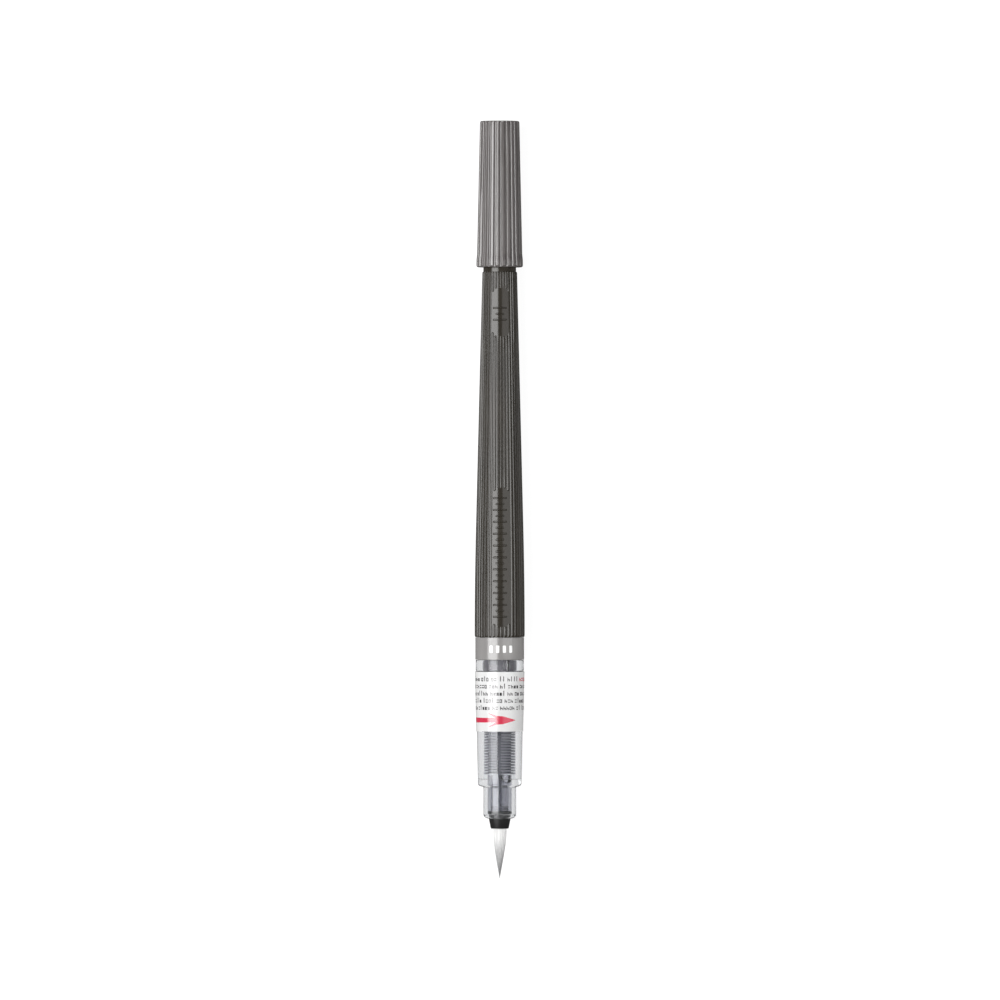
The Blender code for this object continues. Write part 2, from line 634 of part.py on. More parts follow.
def make_neck_plug():
    """Plug in the cartridge's mouth: the tube enters its bore, and the ball closes the far end."""
    profile = [
        (PLUG_RADIUS, PLUG_REAR),
        (PLUG_RADIUS, NECK_FRONT - SEAM),
        (NECK_RADIUS - SEAM, NECK_FRONT - SEAM),
        (NECK_RADIUS - SEAM, PLUG_FRONT),
        (PLUG_BORE, PLUG_FRONT),
        (PLUG_BORE, PLUG_REAR),
    ]
    return finish(turned("neck_plug", profile), HOLDER)


def make_seal_ball():
    bpy.ops.mesh.primitive_uv_sphere_add(segments=SMALL_STEPS, ring_count=10, radius=BALL_RADIUS)
    return finish(place_primitive("seal_ball", (0.0, 0.0, BALL_STATION)), STEEL)


# ---------------------------------------------------------------- cap
def cap_radius(station):
    """Crest radius of the cap ahead of the flare round its mouth."""
    return between(CAP_MOUTH_RADIUS - CAP_LIP_FLARE, CAP_TOP_RADIUS, (station - CAP_MOUTH) / CAP_LENGTH)


def make_cap_shell():
    """Ribbed cap, with a bore that fits both the nose and the tail and a deeper seat for the liner."""
    crest, groove = CAP_CREST_SHARE / 2, CAP_GROOVE_SHARE / 2
    corners = [(-crest, True), (crest, True), (0.5 - groove, False), (0.5 + groove, False)]

    def ring(station, crest_radius, rib_height):
        return rib_ring(station, crest_radius, rib_height, CAP_RIBS, CAP_TURN, corners, lambda angle: False)

    lip = CAP_MOUTH + CAP_LIP_LENGTH
    shell = loft("cap_shell", [
        ring(CAP_MOUTH, CAP_MOUTH_RADIUS - CAP_CHAMFER, 0.0),
        ring(CAP_MOUTH + CAP_CHAMFER, CAP_MOUTH_RADIUS, CAP_RIB_HEIGHT),
        ring(lip, CAP_MOUTH_RADIUS, CAP_RIB_HEIGHT),
        ring(lip + CAP_LIP_LENGTH, cap_radius(lip + CAP_LIP_LENGTH), CAP_RIB_HEIGHT),
        ring(CAP_TOP - CAP_CHAMFER, CAP_TOP_RADIUS, CAP_RIB_HEIGHT),
        ring(CAP_TOP, CAP_TOP_RADIUS - CAP_CHAMFER, 0.0),
    ])
    step = TAIL_END + LINER_BEHIND_TAIL
    hollow = turned("cap_hollow", [
        (0.0, CAP_TOP - CAP_END_WALL),
        (LINER_SEAT, CAP_TOP - CAP_END_WALL),
        (LINER_SEAT, step),
        (CAP_BORE, step),
        (CAP_BORE, CAP_MOUTH - CUT_MARGIN),
        (0.0, CAP_MOUTH - CUT_MARGIN),
    ], closed=False)
    boolean(shell, hollow, "DIFFERENCE")
    return finish(shell, CAP)


def make_cap_liner():
    """Inner cup that closes round the brush when the cap is on the nose."""
    front, rear = TAIL_END + LINER_BEHIND_TAIL + SEAM, CAP_TOP - CAP_END_WALL - SEAM
    profile = [
        (0.0, rear),
        (LINER_RADIUS, rear),
        (LINER_RADIUS, front),
        (LINER_BORE, front),
        (LINER_BORE, rear - LINER_WALL),
        (0.0, rear - LINER_WALL),
    ]
    return finish(turned("cap_liner", profile, closed=False), LINER)


# ---------------------------------------------------------------- the pen
clear_scene()
PARTS = make_collection("brush_pen")
HELPERS = make_collection("helpers")
PEN = bpy.data.objects.new("pen_axis", None)
PARTS.objects.link(PEN)

CAP = make_material("cap_grey", (0.27, 0.25, 0.25), 0.42)
LINER = make_material("liner_grey", (0.45, 0.44, 0.44), 0.50)
BARREL = make_material("barrel_smoke", (0.055, 0.052, 0.046), 0.28)
RING = make_material("ring_grey", (0.33, 0.32, 0.31), 0.30)
CLEAR = make_material("clear_plastic", (0.90, 0.91, 0.92), 0.08, alpha=0.30)
LABEL = make_material("label_film", (0.88, 0.88, 0.88), 0.35)
COLLECTOR = make_material("collector_grey", (0.42, 0.43, 0.46), 0.40)
HOLDER = make_material("holder_grey", (0.55, 0.55, 0.58), 0.35)
BLACK = make_material("ferrule_black", (0.012, 0.012, 0.012), 0.35)
BRISTLE = make_material("bristle_white", (0.85, 0.85, 0.85), 0.55)
RUBBER = make_material("gasket_rubber", (0.03, 0.03, 0.03), 0.70)
FIBRE = make_material("feed_fibre", (0.60, 0.60, 0.62), 0.80)
STEEL = make_material("ball_steel", (0.62, 0.62, 0.64), 0.20, metallic=1.0)

make_brush_tuft()
make_tuft_root()
make_ferrule()
make_brush_holder()
make_feed_rod()
make_feed_tube()
make_front_housing()
make_label_wrap()
make_ink_collector()
make_tube_seat()
make_piercing_tube()
make_neck_gasket()
make_stop_ring()
make_color_ring()
make_ink_barrel()
make_neck_plug()
make_seal_ball()
make_cap_shell()
make_cap_liner()

PEN.location = (0.0, -CAP_TOP / 2, AXIS_HEIGHT)
PEN.rotation_euler = (-math.pi / 2, 0.0, 0.0)
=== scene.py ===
"""A lettering brush pen in a white studio: squeeze barrel, clear brush head and a cap posted on the tail.

Lengths are metres.  The pen lies along world +Y.  Inside the classes a place on it is given by its
station, the distance behind the brush tip, its radius from the pen's axis, and its angle round the axis,
which is zero at the top and grows toward +X.
"""
import logging
import math
import random
from collections.abc import Callable, Sequence
from dataclasses import dataclass
from enum import Enum
from typing import ClassVar

import bmesh
import bpy
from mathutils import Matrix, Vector


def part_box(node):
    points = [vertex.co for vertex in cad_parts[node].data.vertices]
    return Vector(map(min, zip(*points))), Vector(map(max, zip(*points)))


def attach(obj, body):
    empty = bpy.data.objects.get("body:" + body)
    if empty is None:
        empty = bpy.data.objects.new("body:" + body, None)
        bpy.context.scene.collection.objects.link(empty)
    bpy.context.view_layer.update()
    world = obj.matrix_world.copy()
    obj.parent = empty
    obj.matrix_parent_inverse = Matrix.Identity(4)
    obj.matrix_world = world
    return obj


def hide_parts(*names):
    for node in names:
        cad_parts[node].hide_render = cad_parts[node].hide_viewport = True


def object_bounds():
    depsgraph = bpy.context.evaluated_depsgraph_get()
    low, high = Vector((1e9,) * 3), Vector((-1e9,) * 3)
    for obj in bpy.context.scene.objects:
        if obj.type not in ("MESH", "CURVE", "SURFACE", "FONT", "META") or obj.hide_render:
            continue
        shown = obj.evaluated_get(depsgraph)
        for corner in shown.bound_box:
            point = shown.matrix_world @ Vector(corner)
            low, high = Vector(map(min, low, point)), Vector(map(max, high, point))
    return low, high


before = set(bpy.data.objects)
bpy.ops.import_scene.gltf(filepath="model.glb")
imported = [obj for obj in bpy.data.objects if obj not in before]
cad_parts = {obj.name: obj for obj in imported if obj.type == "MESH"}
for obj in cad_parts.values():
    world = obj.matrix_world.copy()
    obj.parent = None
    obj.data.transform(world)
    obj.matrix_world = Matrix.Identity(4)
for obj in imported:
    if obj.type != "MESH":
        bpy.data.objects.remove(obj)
CAD_LOW, CAD_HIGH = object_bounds()

LOG = logging.getLogger("brush_pen")
MM = 0.001
FULL_TURN = 2.0 * math.pi
SEAM = 0.1 * MM                 # end to end, where two pieces touch
SMOOTH_ANGLE = math.radians(32.0)
ROUND_STEPS = 144               # points of a ring that has no ribs
NOISE_SPAN = (0.3, 0.7)         # where nearly all of a noise pattern's factor lies

Color = tuple[float, float, float]
Span = tuple[float, float]
ReliefFunction = Callable[[float, float], float]


class Body(Enum):
    """The moving bodies that the pieces ride on."""

    BRUSH_HEAD = "brush_head"
    STOP_RING = "stop_ring"
    CARTRIDGE = "cartridge"
    SEAL_BALL = "seal_ball"
    CAP = "cap"


class Slot(Enum):
    """Names of the record's material slots, one for each kind of new piece."""

    CAP = "cap"
    BARREL = "barrel"
    COLOR_RING = "color_ring"
    CLEAR = "clear_plastic"
    LABEL = "label"
    COLLECTOR = "collector"
    FERRULE = "ferrule"
    BRISTLES = "bristles"


class PrintTone(Enum):
    """Inks that the label and the colour ring are printed with."""

    BLACK = (0.035, 0.033, 0.036)
    RED = (0.58, 0.020, 0.062)
    WHITE = (0.86, 0.86, 0.85)


class MarkShape(Enum):
    """Plain marks that stand for small print: strokes of (left, right, low, high) in shares of a mark."""

    POST = ((0.33, 0.67, 0.0, 1.4),)
    DASHES = ((0.0, 1.0, 0.05, 0.32), (0.0, 1.0, 0.68, 0.95))
    FRAME = ((0.0, 0.30, 0.0, 1.0), (0.30, 0.70, 0.0, 0.22), (0.30, 0.70, 0.78, 1.0), (0.70, 1.0, 0.0, 1.0))
    STAIR = ((0.0, 0.30, 0.0, 1.0), (0.30, 0.70, 0.38, 0.62), (0.70, 1.0, 0.0, 0.62))
    BLOCK = ((0.05, 0.95, 0.0, 0.85),)


# ---------------------------------------------------------------- places along the pen
@dataclass(frozen=True)
class Extent:
    """How far a CAD node reaches: its front and rear stations and its largest radius."""

    front: float
    rear: float
    radius: float

    @property
    def length(self) -> float:
        """Distance from the front to the rear."""
        return self.rear - self.front


@dataclass(frozen=True)
class PenAxis:
    """The pen's axis in the row frame, by the tip's Y and the axis's height."""

    tip: float
    height: float

    @classmethod
    def from_frame(cls) -> "PenAxis":
        """Finds the axis from the CAD's brush tuft, which is round and starts at the tip.

        Returns:
            The axis.
        """
        low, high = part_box("brush_tuft")
        return cls(tip=low.y, height=(low.z + high.z) / 2)

    def point(self, station: float, radius: float, angle: float) -> Vector:
        """Turns a place on the pen into a point of the row frame.

        Args:
            station: Distance behind the brush tip.
            radius: Distance from the axis.
            angle: Angle round the axis in radians.

        Returns:
            The point.
        """
        return Vector((radius * math.sin(angle), self.tip + station, self.height + radius * math.cos(angle)))

    def extent(self, node: str) -> Extent:
        """Reads how far a CAD node reaches along and around the axis.

        Args:
            node: Name of the CAD node.

        Returns:
            Its extent.
        """
        low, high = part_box(node)
        return Extent(low.y - self.tip, high.y - self.tip, (high.x - low.x) / 2)


# ---------------------------------------------------------------- profiles and meshes
@dataclass(frozen=True)
class Corner:
    """A corner of a turned profile, with the radius of its rounding."""

    radius: float
    station: float
    fillet: float = 0.0


@dataclass(frozen=True)
class Ring:
    """One ring of a surface round the axis.  With a relief, that decides the radius at each angle."""

    station: float
    radius: float
    relief: ReliefFunction | None = None

    def radius_at(self, angle: float) -> float:
        """Radius of the ring at an angle."""
        return self.relief(self.station, angle) if self.relief else self.radius


def smoothstep(low: float, high: float, value: float) -> float:
    """Rises smoothly from 0 to 1, with level ends."""
    share = min(max((value - low) / (high - low), 0.0), 1.0)
    return share * share * (3.0 - 2.0 * share)


def between(low: float, high: float, share: float) -> float:
    """The value that lies the given share of the way from low to high."""
    return low + (high - low) * share


def rounded_off(distance: float, rounding: float) -> float:
    """How much of a rounding's height is missing near the end that it rounds.

    Args:
        distance: Distance from that end.
        rounding: Radius of the rounding.

    Returns:
        A share from 1 at the end to 0 where the rounding is over.
    """
    if distance >= rounding:
        return 0.0
    return 1.0 - math.sqrt(max(1.0 - (1.0 - distance / rounding) ** 2, 0.0))


def filleted(corners: Sequence[Corner], closed: bool = True, steps: int = 5) -> list[Ring]:
    """Rounds the corners of a profile.

    Args:
        corners: The profile's corners in order.
        closed: Whether the last corner joins the first.
        steps: Pieces of each rounding.

    Returns:
        The rings that the rounded profile sweeps.
    """
    rings: list[Ring] = []
    count = len(corners)
    for index, corner in enumerate(corners):
        here = Vector((corner.radius, corner.station))
        at_end = not closed and index in (0, count - 1)
        if corner.fillet <= 0.0 or at_end:
            rings.append(Ring(here.y, here.x))
            continue
        before = corners[index - 1]
        after = corners[(index + 1) % count]
        back = (Vector((before.radius, before.station)) - here).normalized()
        ahead = (Vector((after.radius, after.station)) - here).normalized()
        opening = back.angle(ahead)
        reach = corner.fillet / math.tan(opening / 2)
        center = here + (back + ahead).normalized() * (corner.fillet / math.sin(opening / 2))
        start = here + back * reach - center
        end = here + ahead * reach - center
        turn = start.angle_signed(end)
        for step in range(steps + 1):
            share = turn * step / steps
            spoke = Vector((
                start.x * math.cos(share) + start.y * math.sin(share),
                start.y * math.cos(share) - start.x * math.sin(share),
            ))
            place = center + spoke
            rings.append(Ring(place.y, place.x))
    return rings


def grid_faces(
    start: int, rows: int, columns: int, round_rows: bool = False, round_columns: bool = False
) -> list[list[int]]:
    """Joins points that lie in rows and columns.

    Args:
        start: Index of the first point.
        rows: Number of rows.
        columns: Points in each row.
        round_rows: Whether the last row joins the first.
        round_columns: Whether each row's last point joins its first.

    Returns:
        The faces, as indices of points.
    """
    faces = []
    for row in range(rows if round_rows else rows - 1):
        low = start + row * columns
        high = start + (row + 1) % rows * columns
        for column in range(columns if round_columns else columns - 1):
            ahead = (column + 1) % columns
            faces.append([low + column, low + ahead, high + ahead, high + column])
    return faces


def put_in_scene(name: str, data: bpy.types.ID) -> bpy.types.Object:
    """Makes an object and links it to the scene.

    Args:
        name: Name of the object.
        data: Its mesh, light or camera.

    Returns:
        The object.
    """
    thing = bpy.data.objects.new(name, data)
    bpy.context.scene.collection.objects.link(thing)
    return thing


def make_mesh(name: str, points: Sequence[Vector], faces: Sequence[Sequence[int]]) -> bpy.types.Mesh:
    """Builds a mesh whose faces look outward and whose round parts are shaded smooth.

    Args:
        name: Name of the mesh.
        points: Its points in the row frame.
        faces: Its faces as indices of points.

    Returns:
        The mesh.
    """
    mesh = bpy.data.meshes.new(name)
    mesh.from_pydata(points, [], faces)
    work = bmesh.new()
    work.from_mesh(mesh)
    bmesh.ops.recalc_face_normals(work, faces=work.faces)
    work.to_mesh(mesh)
    work.free()
    mesh.shade_smooth()
    mesh.set_sharp_from_angle(angle=SMOOTH_ANGLE)
    return mesh


def ring_mesh(
    name: str,
    axis: PenAxis,
    rings: Sequence[Ring],
    steps: int = ROUND_STEPS,
    closed: bool = True,
    sweep: Span | None = None,
) -> bpy.types.Mesh:
    """Skins rings round the pen's axis.

    Args:
        name: Name of the mesh.
        axis: The pen's axis.
        rings: The rings in order along the skin.
        steps: Points of each ring.
        closed: Whether the last ring joins the first; if not, both ends are closed by flat faces.
        sweep: First and last angle of a ring that doesn't go all the way round.

    Returns:
        A closed mesh.
    """
    first, last = sweep or (0.0, FULL_TURN)
    parts = steps - 1 if sweep else steps
    points = []
    for ring in rings:
        for step in range(steps):
            angle = between(first, last, step / parts)
            points.append(axis.point(ring.station, ring.radius_at(angle), angle))
    levels = len(rings)
    faces = grid_faces(0, levels, steps, round_rows=closed, round_columns=sweep is None)
    if not closed:
        faces.append(list(range(steps)))
        faces.append(list(range((levels - 1) * steps, levels * steps)))
    if sweep:
        faces.append([level * steps for level in range(levels)])
        faces.append([level * steps + steps - 1 for level in range(levels)])
    return make_mesh(name, points, faces)


@dataclass(frozen=True)
class ThreadRidge:
    """A right-handed screw ridge round the axis that runs out softly at both ends."""

    start: float
    foot_radius: float
    crest_radius: float
    pitch: float = 2.0 * MM
    turns: float = 2.0
    foot_width: float = 0.8 * MM
    crest_width: float = 0.4 * MM
    first_angle: float = math.radians(90.0)
    run_out: float = math.radians(35.0)
    end_height: float = 0.12
    steps_per_turn: int = 72

    def mesh(self, name: str, axis: PenAxis) -> bpy.types.Mesh:
        """Sweeps the ridge's section along its helix.

        Args:
            name: Name of the mesh.
            axis: The pen's axis.

        Returns:
            A closed mesh.
        """
        count = int(self.steps_per_turn * self.turns)
        span = self.turns * FULL_TURN
        points = []
        for step in range(count + 1):
            turned_by = span * step / count
            station = self.start + self.pitch * turned_by / FULL_TURN
            height = smoothstep(0.0, self.run_out, min(turned_by, span - turned_by))
            crest = between(self.foot_radius, self.crest_radius, between(self.end_height, 1.0, height))
            angle = self.first_angle + turned_by
            section = (
                (self.foot_radius, -self.foot_width / 2),
                (crest, -self.crest_width / 2),
                (crest, self.crest_width / 2),
                (self.foot_radius, self.foot_width / 2),
            )
            points += [axis.point(station + rise, radius, angle) for radius, rise in section]
        corners = len(section)
        faces = [list(range(corners)), [corners * count + corner for corner in range(corners)]]
        faces += grid_faces(0, count + 1, corners, round_columns=True)
        return make_mesh(name, points, faces)


@dataclass(frozen=True)
class PrintedStrip:
    """A printed patch: columns of (way round the surface, lower edge, upper edge), from a centre station."""

    columns: tuple[tuple[float, float, float], ...]

    def refined(self, step: float) -> list[tuple[float, float, float]]:
        """Adds columns, so that the strip follows the round surface.

        Args:
            step: Greatest distance between two columns.

        Returns:
            The columns in order.
        """
        fine = [self.columns[0]]
        for column, ahead in zip(self.columns, self.columns[1:]):
            parts = max(1, math.ceil((ahead[0] - column[0]) / step))
            for part in range(1, parts + 1):
                fine.append(tuple(between(a, b, part / parts) for a, b in zip(column, ahead)))
        return fine


def printed_mesh(
    name: str,
    axis: PenAxis,
    strips: Sequence[PrintedStrip],
    centre: float,
    radius_at: Callable[[float], float],
    step: float = 0.3 * MM,
) -> bpy.types.Mesh:
    """Lays printed strips round the pen.

    Args:
        name: Name of the mesh.
        axis: The pen's axis.
        strips: The patches.
        centre: Station that the strips' edges are measured from.
        radius_at: Radius of the printed face at a station.
        step: Greatest distance between two columns.

    Returns:
        One open mesh of all the strips.
    """
    points: list[Vector] = []
    faces: list[list[int]] = []
    middle = radius_at(centre)
    for strip in strips:
        start = len(points)
        columns = strip.refined(step)
        for way, low, high in columns:
            for rise in (low, high):
                station = centre + rise
                points.append(axis.point(station, radius_at(station), way / middle))
        for column in range(len(columns) - 1):
            corner = start + 2 * column
            faces.append([corner, corner + 2, corner + 3, corner + 1])
    mesh = bpy.data.meshes.new(name)
    mesh.from_pydata(points, [], faces)
    mesh.shade_smooth()
    return mesh


# ---------------------------------------------------------------- finishes
class NodeBench:
    """A node material in the making, with its principled shader at hand."""

    def __init__(self, name: str) -> None:
        """Starts a material with a principled shader.

        Args:
            name: Name of the material.
        """
        self.material = bpy.data.materials.new(name)
        self.material.use_nodes = True
        self.tree = self.material.node_tree
        self.shader = self.tree.nodes["Principled BSDF"]
        self.output = self.tree.nodes["Material Output"]
        coordinates = self.tree.nodes.new("ShaderNodeTexCoord")
        self.place = coordinates.outputs["Object"]

    def node(self, kind: str) -> bpy.types.Node:
        """Adds a node of this type."""
        return self.tree.nodes.new(kind)

    def link(self, source: bpy.types.NodeSocket, target: bpy.types.NodeSocket) -> None:
        """Joins two sockets."""
        self.tree.links.new(source, target)

    def settings(self, **values: float | tuple[float, ...]) -> None:
        """Sets the shader's own sockets.

        Args:
            values: The values by the sockets' names, in small letters and with _ for a space.
        """
        titles = {socket.name.lower().replace(" ", "_"): socket for socket in self.shader.inputs}
        for key, value in values.items():
            titles[key].default_value = value

    def stretched(self, along: float) -> bpy.types.NodeSocket:
        """Coordinates whose patterns are drawn out along the pen.

        Args:
            along: How many times longer a feature is along the pen than round it.

        Returns:
            The coordinates.
        """
        mapping = self.node("ShaderNodeMapping")
        mapping.inputs["Scale"].default_value = (1.0, 1.0 / along, 1.0)
        self.link(self.place, mapping.inputs["Vector"])
        return mapping.outputs["Vector"]

    def noise(
        self, size: float, detail: float = 3.0, vector: bpy.types.NodeSocket | None = None
    ) -> bpy.types.NodeSocket:
        """Soft random pattern.

        Args:
            size: Size of its features.
            detail: How many finer layers it has.
            vector: Coordinates to use instead of the plain ones.

        Returns:
            The pattern's factor.
        """
        noise = self.node("ShaderNodeTexNoise")
        noise.inputs["Scale"].default_value = 1.0 / size
        noise.inputs["Detail"].default_value = detail
        self.link(vector or self.place, noise.inputs["Vector"])
        return noise.outputs["Fac"]

    def ramp(
        self, factor: bpy.types.NodeSocket, stops: Sequence[tuple[float, Color]]
    ) -> bpy.types.NodeSocket:
        """Colours a factor.

        Args:
            factor: What to colour.
            stops: Positions and their colours, in order.

        Returns:
            The colour.
        """
        ramp = self.node("ShaderNodeValToRGB")
        elements = ramp.color_ramp.elements
        while len(elements) < len(stops):
            elements.new(0.5)
        for element, (position, color) in zip(elements, stops):
            element.position = position
            element.color = (*color, 1.0)
        self.link(factor, ramp.inputs["Fac"])
        return ramp.outputs["Color"]

    def coordinate(self, letter: str) -> bpy.types.NodeSocket:
        """Picks one coordinate of the surface's place.

        Args:
            letter: X, Y or Z.

        Returns:
            The coordinate.
        """
        split = self.node("ShaderNodeSeparateXYZ")
        self.link(self.place, split.inputs["Vector"])
        return split.outputs[letter]

    def mapped(
        self, factor: bpy.types.NodeSocket, target: Span, source: Span = NOISE_SPAN
    ) -> bpy.types.NodeSocket:
        """Maps one span of values onto another and stops at its ends.

        Args:
            factor: The value to map.
            target: What the ends of the source become.
            source: The values between which the factor counts.

        Returns:
            The mapped value.
        """
        span = self.node("ShaderNodeMapRange")
        for title, value in zip(("From Min", "From Max", "To Min", "To Max"), (*source, *target)):
            span.inputs[title].default_value = value
        self.link(factor, span.inputs["Value"])
        return span.outputs["Result"]

    def mottle(
        self, pattern: bpy.types.NodeSocket, colors: tuple[Color, Color], roughness: float, swing: Span
    ) -> None:
        """Gives the skin a colour and a roughness that both follow a pattern.

        Args:
            pattern: The pattern's factor.
            colors: Colours at the pattern's low and high places.
            roughness: The skin's roughness.
            swing: What it is multiplied by at the low and high places.
        """
        self.link(self.ramp(pattern, tuple(zip(NOISE_SPAN, colors))), self.shader.inputs["Base Color"])
        rough = self.mapped(pattern, (roughness * swing[0], roughness * swing[1]))
        self.link(rough, self.shader.inputs["Roughness"])

    def math(
        self, operation: str, first: bpy.types.NodeSocket, second: bpy.types.NodeSocket | float
    ) -> bpy.types.NodeSocket:
        """Joins two values.

        Args:
            operation: What to do with them.
            first: The first value.
            second: The second value, or a number.

        Returns:
            The result.
        """
        node = self.node("ShaderNodeMath")
        node.operation = operation
        self.link(first, node.inputs[0])
        if isinstance(second, bpy.types.NodeSocket):
            self.link(second, node.inputs[1])
        else:
            node.inputs[1].default_value = second
        return node.outputs["Value"]

    def bump(self, height: bpy.types.NodeSocket, depth: float, strength: float = 0.5) -> None:
        """Raises the surface by a pattern.

        Args:
            height: The pattern.
            depth: Height of the relief.
            strength: How much of it shows.
        """
        bump = self.node("ShaderNodeBump")
        bump.inputs["Strength"].default_value = strength
        bump.inputs["Distance"].default_value = depth
        self.link(height, bump.inputs["Height"])
        self.link(bump.outputs["Normal"], self.shader.inputs["Normal"])

    def let_light_through(self, tint: Color) -> None:
        """Lets lamps light what lies inside a clear piece.

        Args:
            tint: Colour that the light takes.
        """
        clear = self.node("ShaderNodeBsdfTransparent")
        clear.inputs["Color"].default_value = (*tint, 1.0)
        path = self.node("ShaderNodeLightPath")
        mix = self.node("ShaderNodeMixShader")
        self.link(path.outputs["Is Shadow Ray"], mix.inputs["Fac"])
        self.link(self.shader.outputs["BSDF"], mix.inputs[1])
        self.link(clear.outputs["BSDF"], mix.inputs[2])
        self.link(mix.outputs["Shader"], self.output.inputs["Surface"])


def shades(color: Color, contrast: float) -> tuple[Color, Color]:
    """Makes a darker and a lighter shade of a colour.

    Args:
        color: The colour.
        contrast: How far both lie from it, as a share.

    Returns:
        The darker and the lighter shade.
    """
    dark, light = (
        tuple(min(channel * share, 1.0) for channel in color) for share in (1.0 - contrast, 1.0 + contrast))
    return dark, light


@dataclass(frozen=True)
class MouldedPlastic:
    """Solid-coloured moulded plastic: flow clouds in the colour, a fine spark-eroded grain on the skin."""

    name: str
    color: Color
    roughness: float = 0.35
    specular: float = 0.5
    clouding: float = 0.08
    grain: float = 0.06 * MM
    grain_depth: float = 0.004 * MM
    flow: float = 6.0

    def material(self) -> bpy.types.Material:
        """Builds the node material.

        Returns:
            The material.
        """
        bench = NodeBench(self.name)
        clouds = bench.noise(2.4 * MM, 3.0, bench.stretched(self.flow))
        bench.mottle(clouds, shades(self.color, self.clouding), self.roughness, (0.9, 1.1))
        bench.bump(bench.noise(self.grain, 2.0), self.grain_depth)
        bench.settings(specular_ior_level=self.specular)
        return bench.material


@dataclass(frozen=True)
class FinnedPlastic:
    """Moulded plastic of the collector: smooth paler rims, a duller skin between the fins, and painted shade
    that darkens that skin.
    """

    name: str
    # painted shade: the skin between the fins is coloured darker than the rims
    hub_painted_shade: Color = (0.070, 0.070, 0.080)
    rim_color: Color = (0.105, 0.105, 0.118)
    hub_roughness: float = 0.75
    rim_roughness: float = 0.34
    specular: float = 0.62

    def material(self, height: float, hub: float, rim: float) -> bpy.types.Material:
        """Builds the node material.

        Args:
            height: Height of the pen's axis.
            hub: Radius inside which the skin is dull and darkened by painted shade.
            rim: Radius of the fins' rims.

        Returns:
            The material.
        """
        bench = NodeBench(self.name)
        rise = bench.math("SUBTRACT", bench.coordinate("Z"), height)
        side = bench.coordinate("X")
        square = bench.math("ADD", bench.math("MULTIPLY", side, side), bench.math("MULTIPLY", rise, rise))
        share = bench.mapped(bench.math("POWER", square, 0.5), (0.0, 1.0), (hub, rim))
        uneven = bench.mapped(bench.noise(0.5 * MM, 3.0), (-0.12, 0.12))
        outward = bench.math("ADD", share, uneven)
        # painted shade: the ramp darkens the colour from the rims in toward the hub
        stops = ((0.2, self.hub_painted_shade), (0.9, self.rim_color))
        bench.link(bench.ramp(outward, stops), bench.shader.inputs["Base Color"])
        rough = bench.mapped(outward, (self.hub_roughness, self.rim_roughness), (0.0, 1.0))
        bench.link(rough, bench.shader.inputs["Roughness"])
        bench.bump(bench.noise(0.06 * MM, 2.0), 0.004 * MM)
        bench.settings(specular_ior_level=self.specular)
        return bench.material


@dataclass(frozen=True)
class ClearPlastic:
    """Water-clear or frosted plastic with faint flow lines in its skin."""

    name: str
    tint: Color = (0.93, 0.94, 0.955)
    roughness: float = 0.03
    transmission: float = 1.0
    ior: float = 1.49
    gloss: float = 0.55
    ripple: float = 0.0015 * MM

    def material(self) -> bpy.types.Material:
        """Builds the node material.

        Returns:
            The material.
        """
        bench = NodeBench(self.name)
        flow = bench.noise(1.4 * MM, 2.0, bench.stretched(5.0))
        bench.mottle(flow, shades(self.tint, 0.03), self.roughness, (0.7, 1.3))
        bench.bump(flow, self.ripple, 0.3)
        gloss = (self.gloss, self.gloss, self.gloss, 1.0)
        bench.settings(transmission_weight=self.transmission, ior=self.ior, specular_tint=gloss)
        bench.let_light_through(self.tint)
        return bench.material


@dataclass(frozen=True)
class LabelFilm:
    """White printed film with a glossy face and a trace of the fibres behind it."""

    name: str = "label_film"
    color: Color = (0.70, 0.70, 0.70)
    roughness: float = 0.22

    def material(self) -> bpy.types.Material:
        """Builds the node material.

        Returns:
            The material.
        """
        bench = NodeBench(self.name)
        fibres = bench.noise(0.35 * MM, 4.0)
        bench.mottle(fibres, shades(self.color, 0.03), self.roughness, (0.85, 1.2))
        bench.bump(bench.noise(0.8 * MM, 2.0), 0.002 * MM, 0.3)
        bench.settings(specular_ior_level=0.55)
        return bench.material


@dataclass(frozen=True)
class PrintInk:
    """Screen ink that covers a little unevenly."""

    tone: PrintTone
    roughness: float = 0.20

    def material(self) -> bpy.types.Material:
        """Builds the node material.

        Returns:
            The material.
        """
        bench = NodeBench(f"print_{self.tone.name.lower()}")
        dots = bench.noise(0.09 * MM, 2.0)
        bench.mottle(dots, shades(self.tone.value, 0.15), self.roughness, (0.8, 1.3))
        bench.bump(dots, 0.001 * MM, 0.3)
        bench.settings(ior=1.8, specular_ior_level=0.65)
        return bench.material


@dataclass(frozen=True)
class Bristles:
    """Tapered nylon fibres: opaque white at the root and clearer toward the point, with painted shade that
    greys them toward the point.
    """

    tip: float
    length: float
    name: str = "bristle_nylon"

    def material(self) -> bpy.types.Material:
        """Builds the node material.

        Returns:
            The material.
        """
        bench = NodeBench(self.name)
        way = bench.mapped(bench.coordinate("Y"), (0.0, 1.0), (self.tip, self.tip + self.length))
        strands = bench.mapped(bench.noise(0.10 * MM, 2.0, bench.stretched(30.0)), (-0.06, 0.06))
        shifted = bench.math("ADD", way, strands)
        # painted shade: grey at the point, turning white toward the root
        stops = (
            (0.0, (0.22, 0.22, 0.225)),
            (0.25, (0.34, 0.34, 0.345)),
            (0.55, (0.62, 0.62, 0.62)),
            (0.82, (0.90, 0.90, 0.895)),
        )
        bench.link(bench.ramp(shifted, stops), bench.shader.inputs["Base Color"])
        bench.settings(roughness=0.34, specular_ior_level=0.4)
        return bench.material


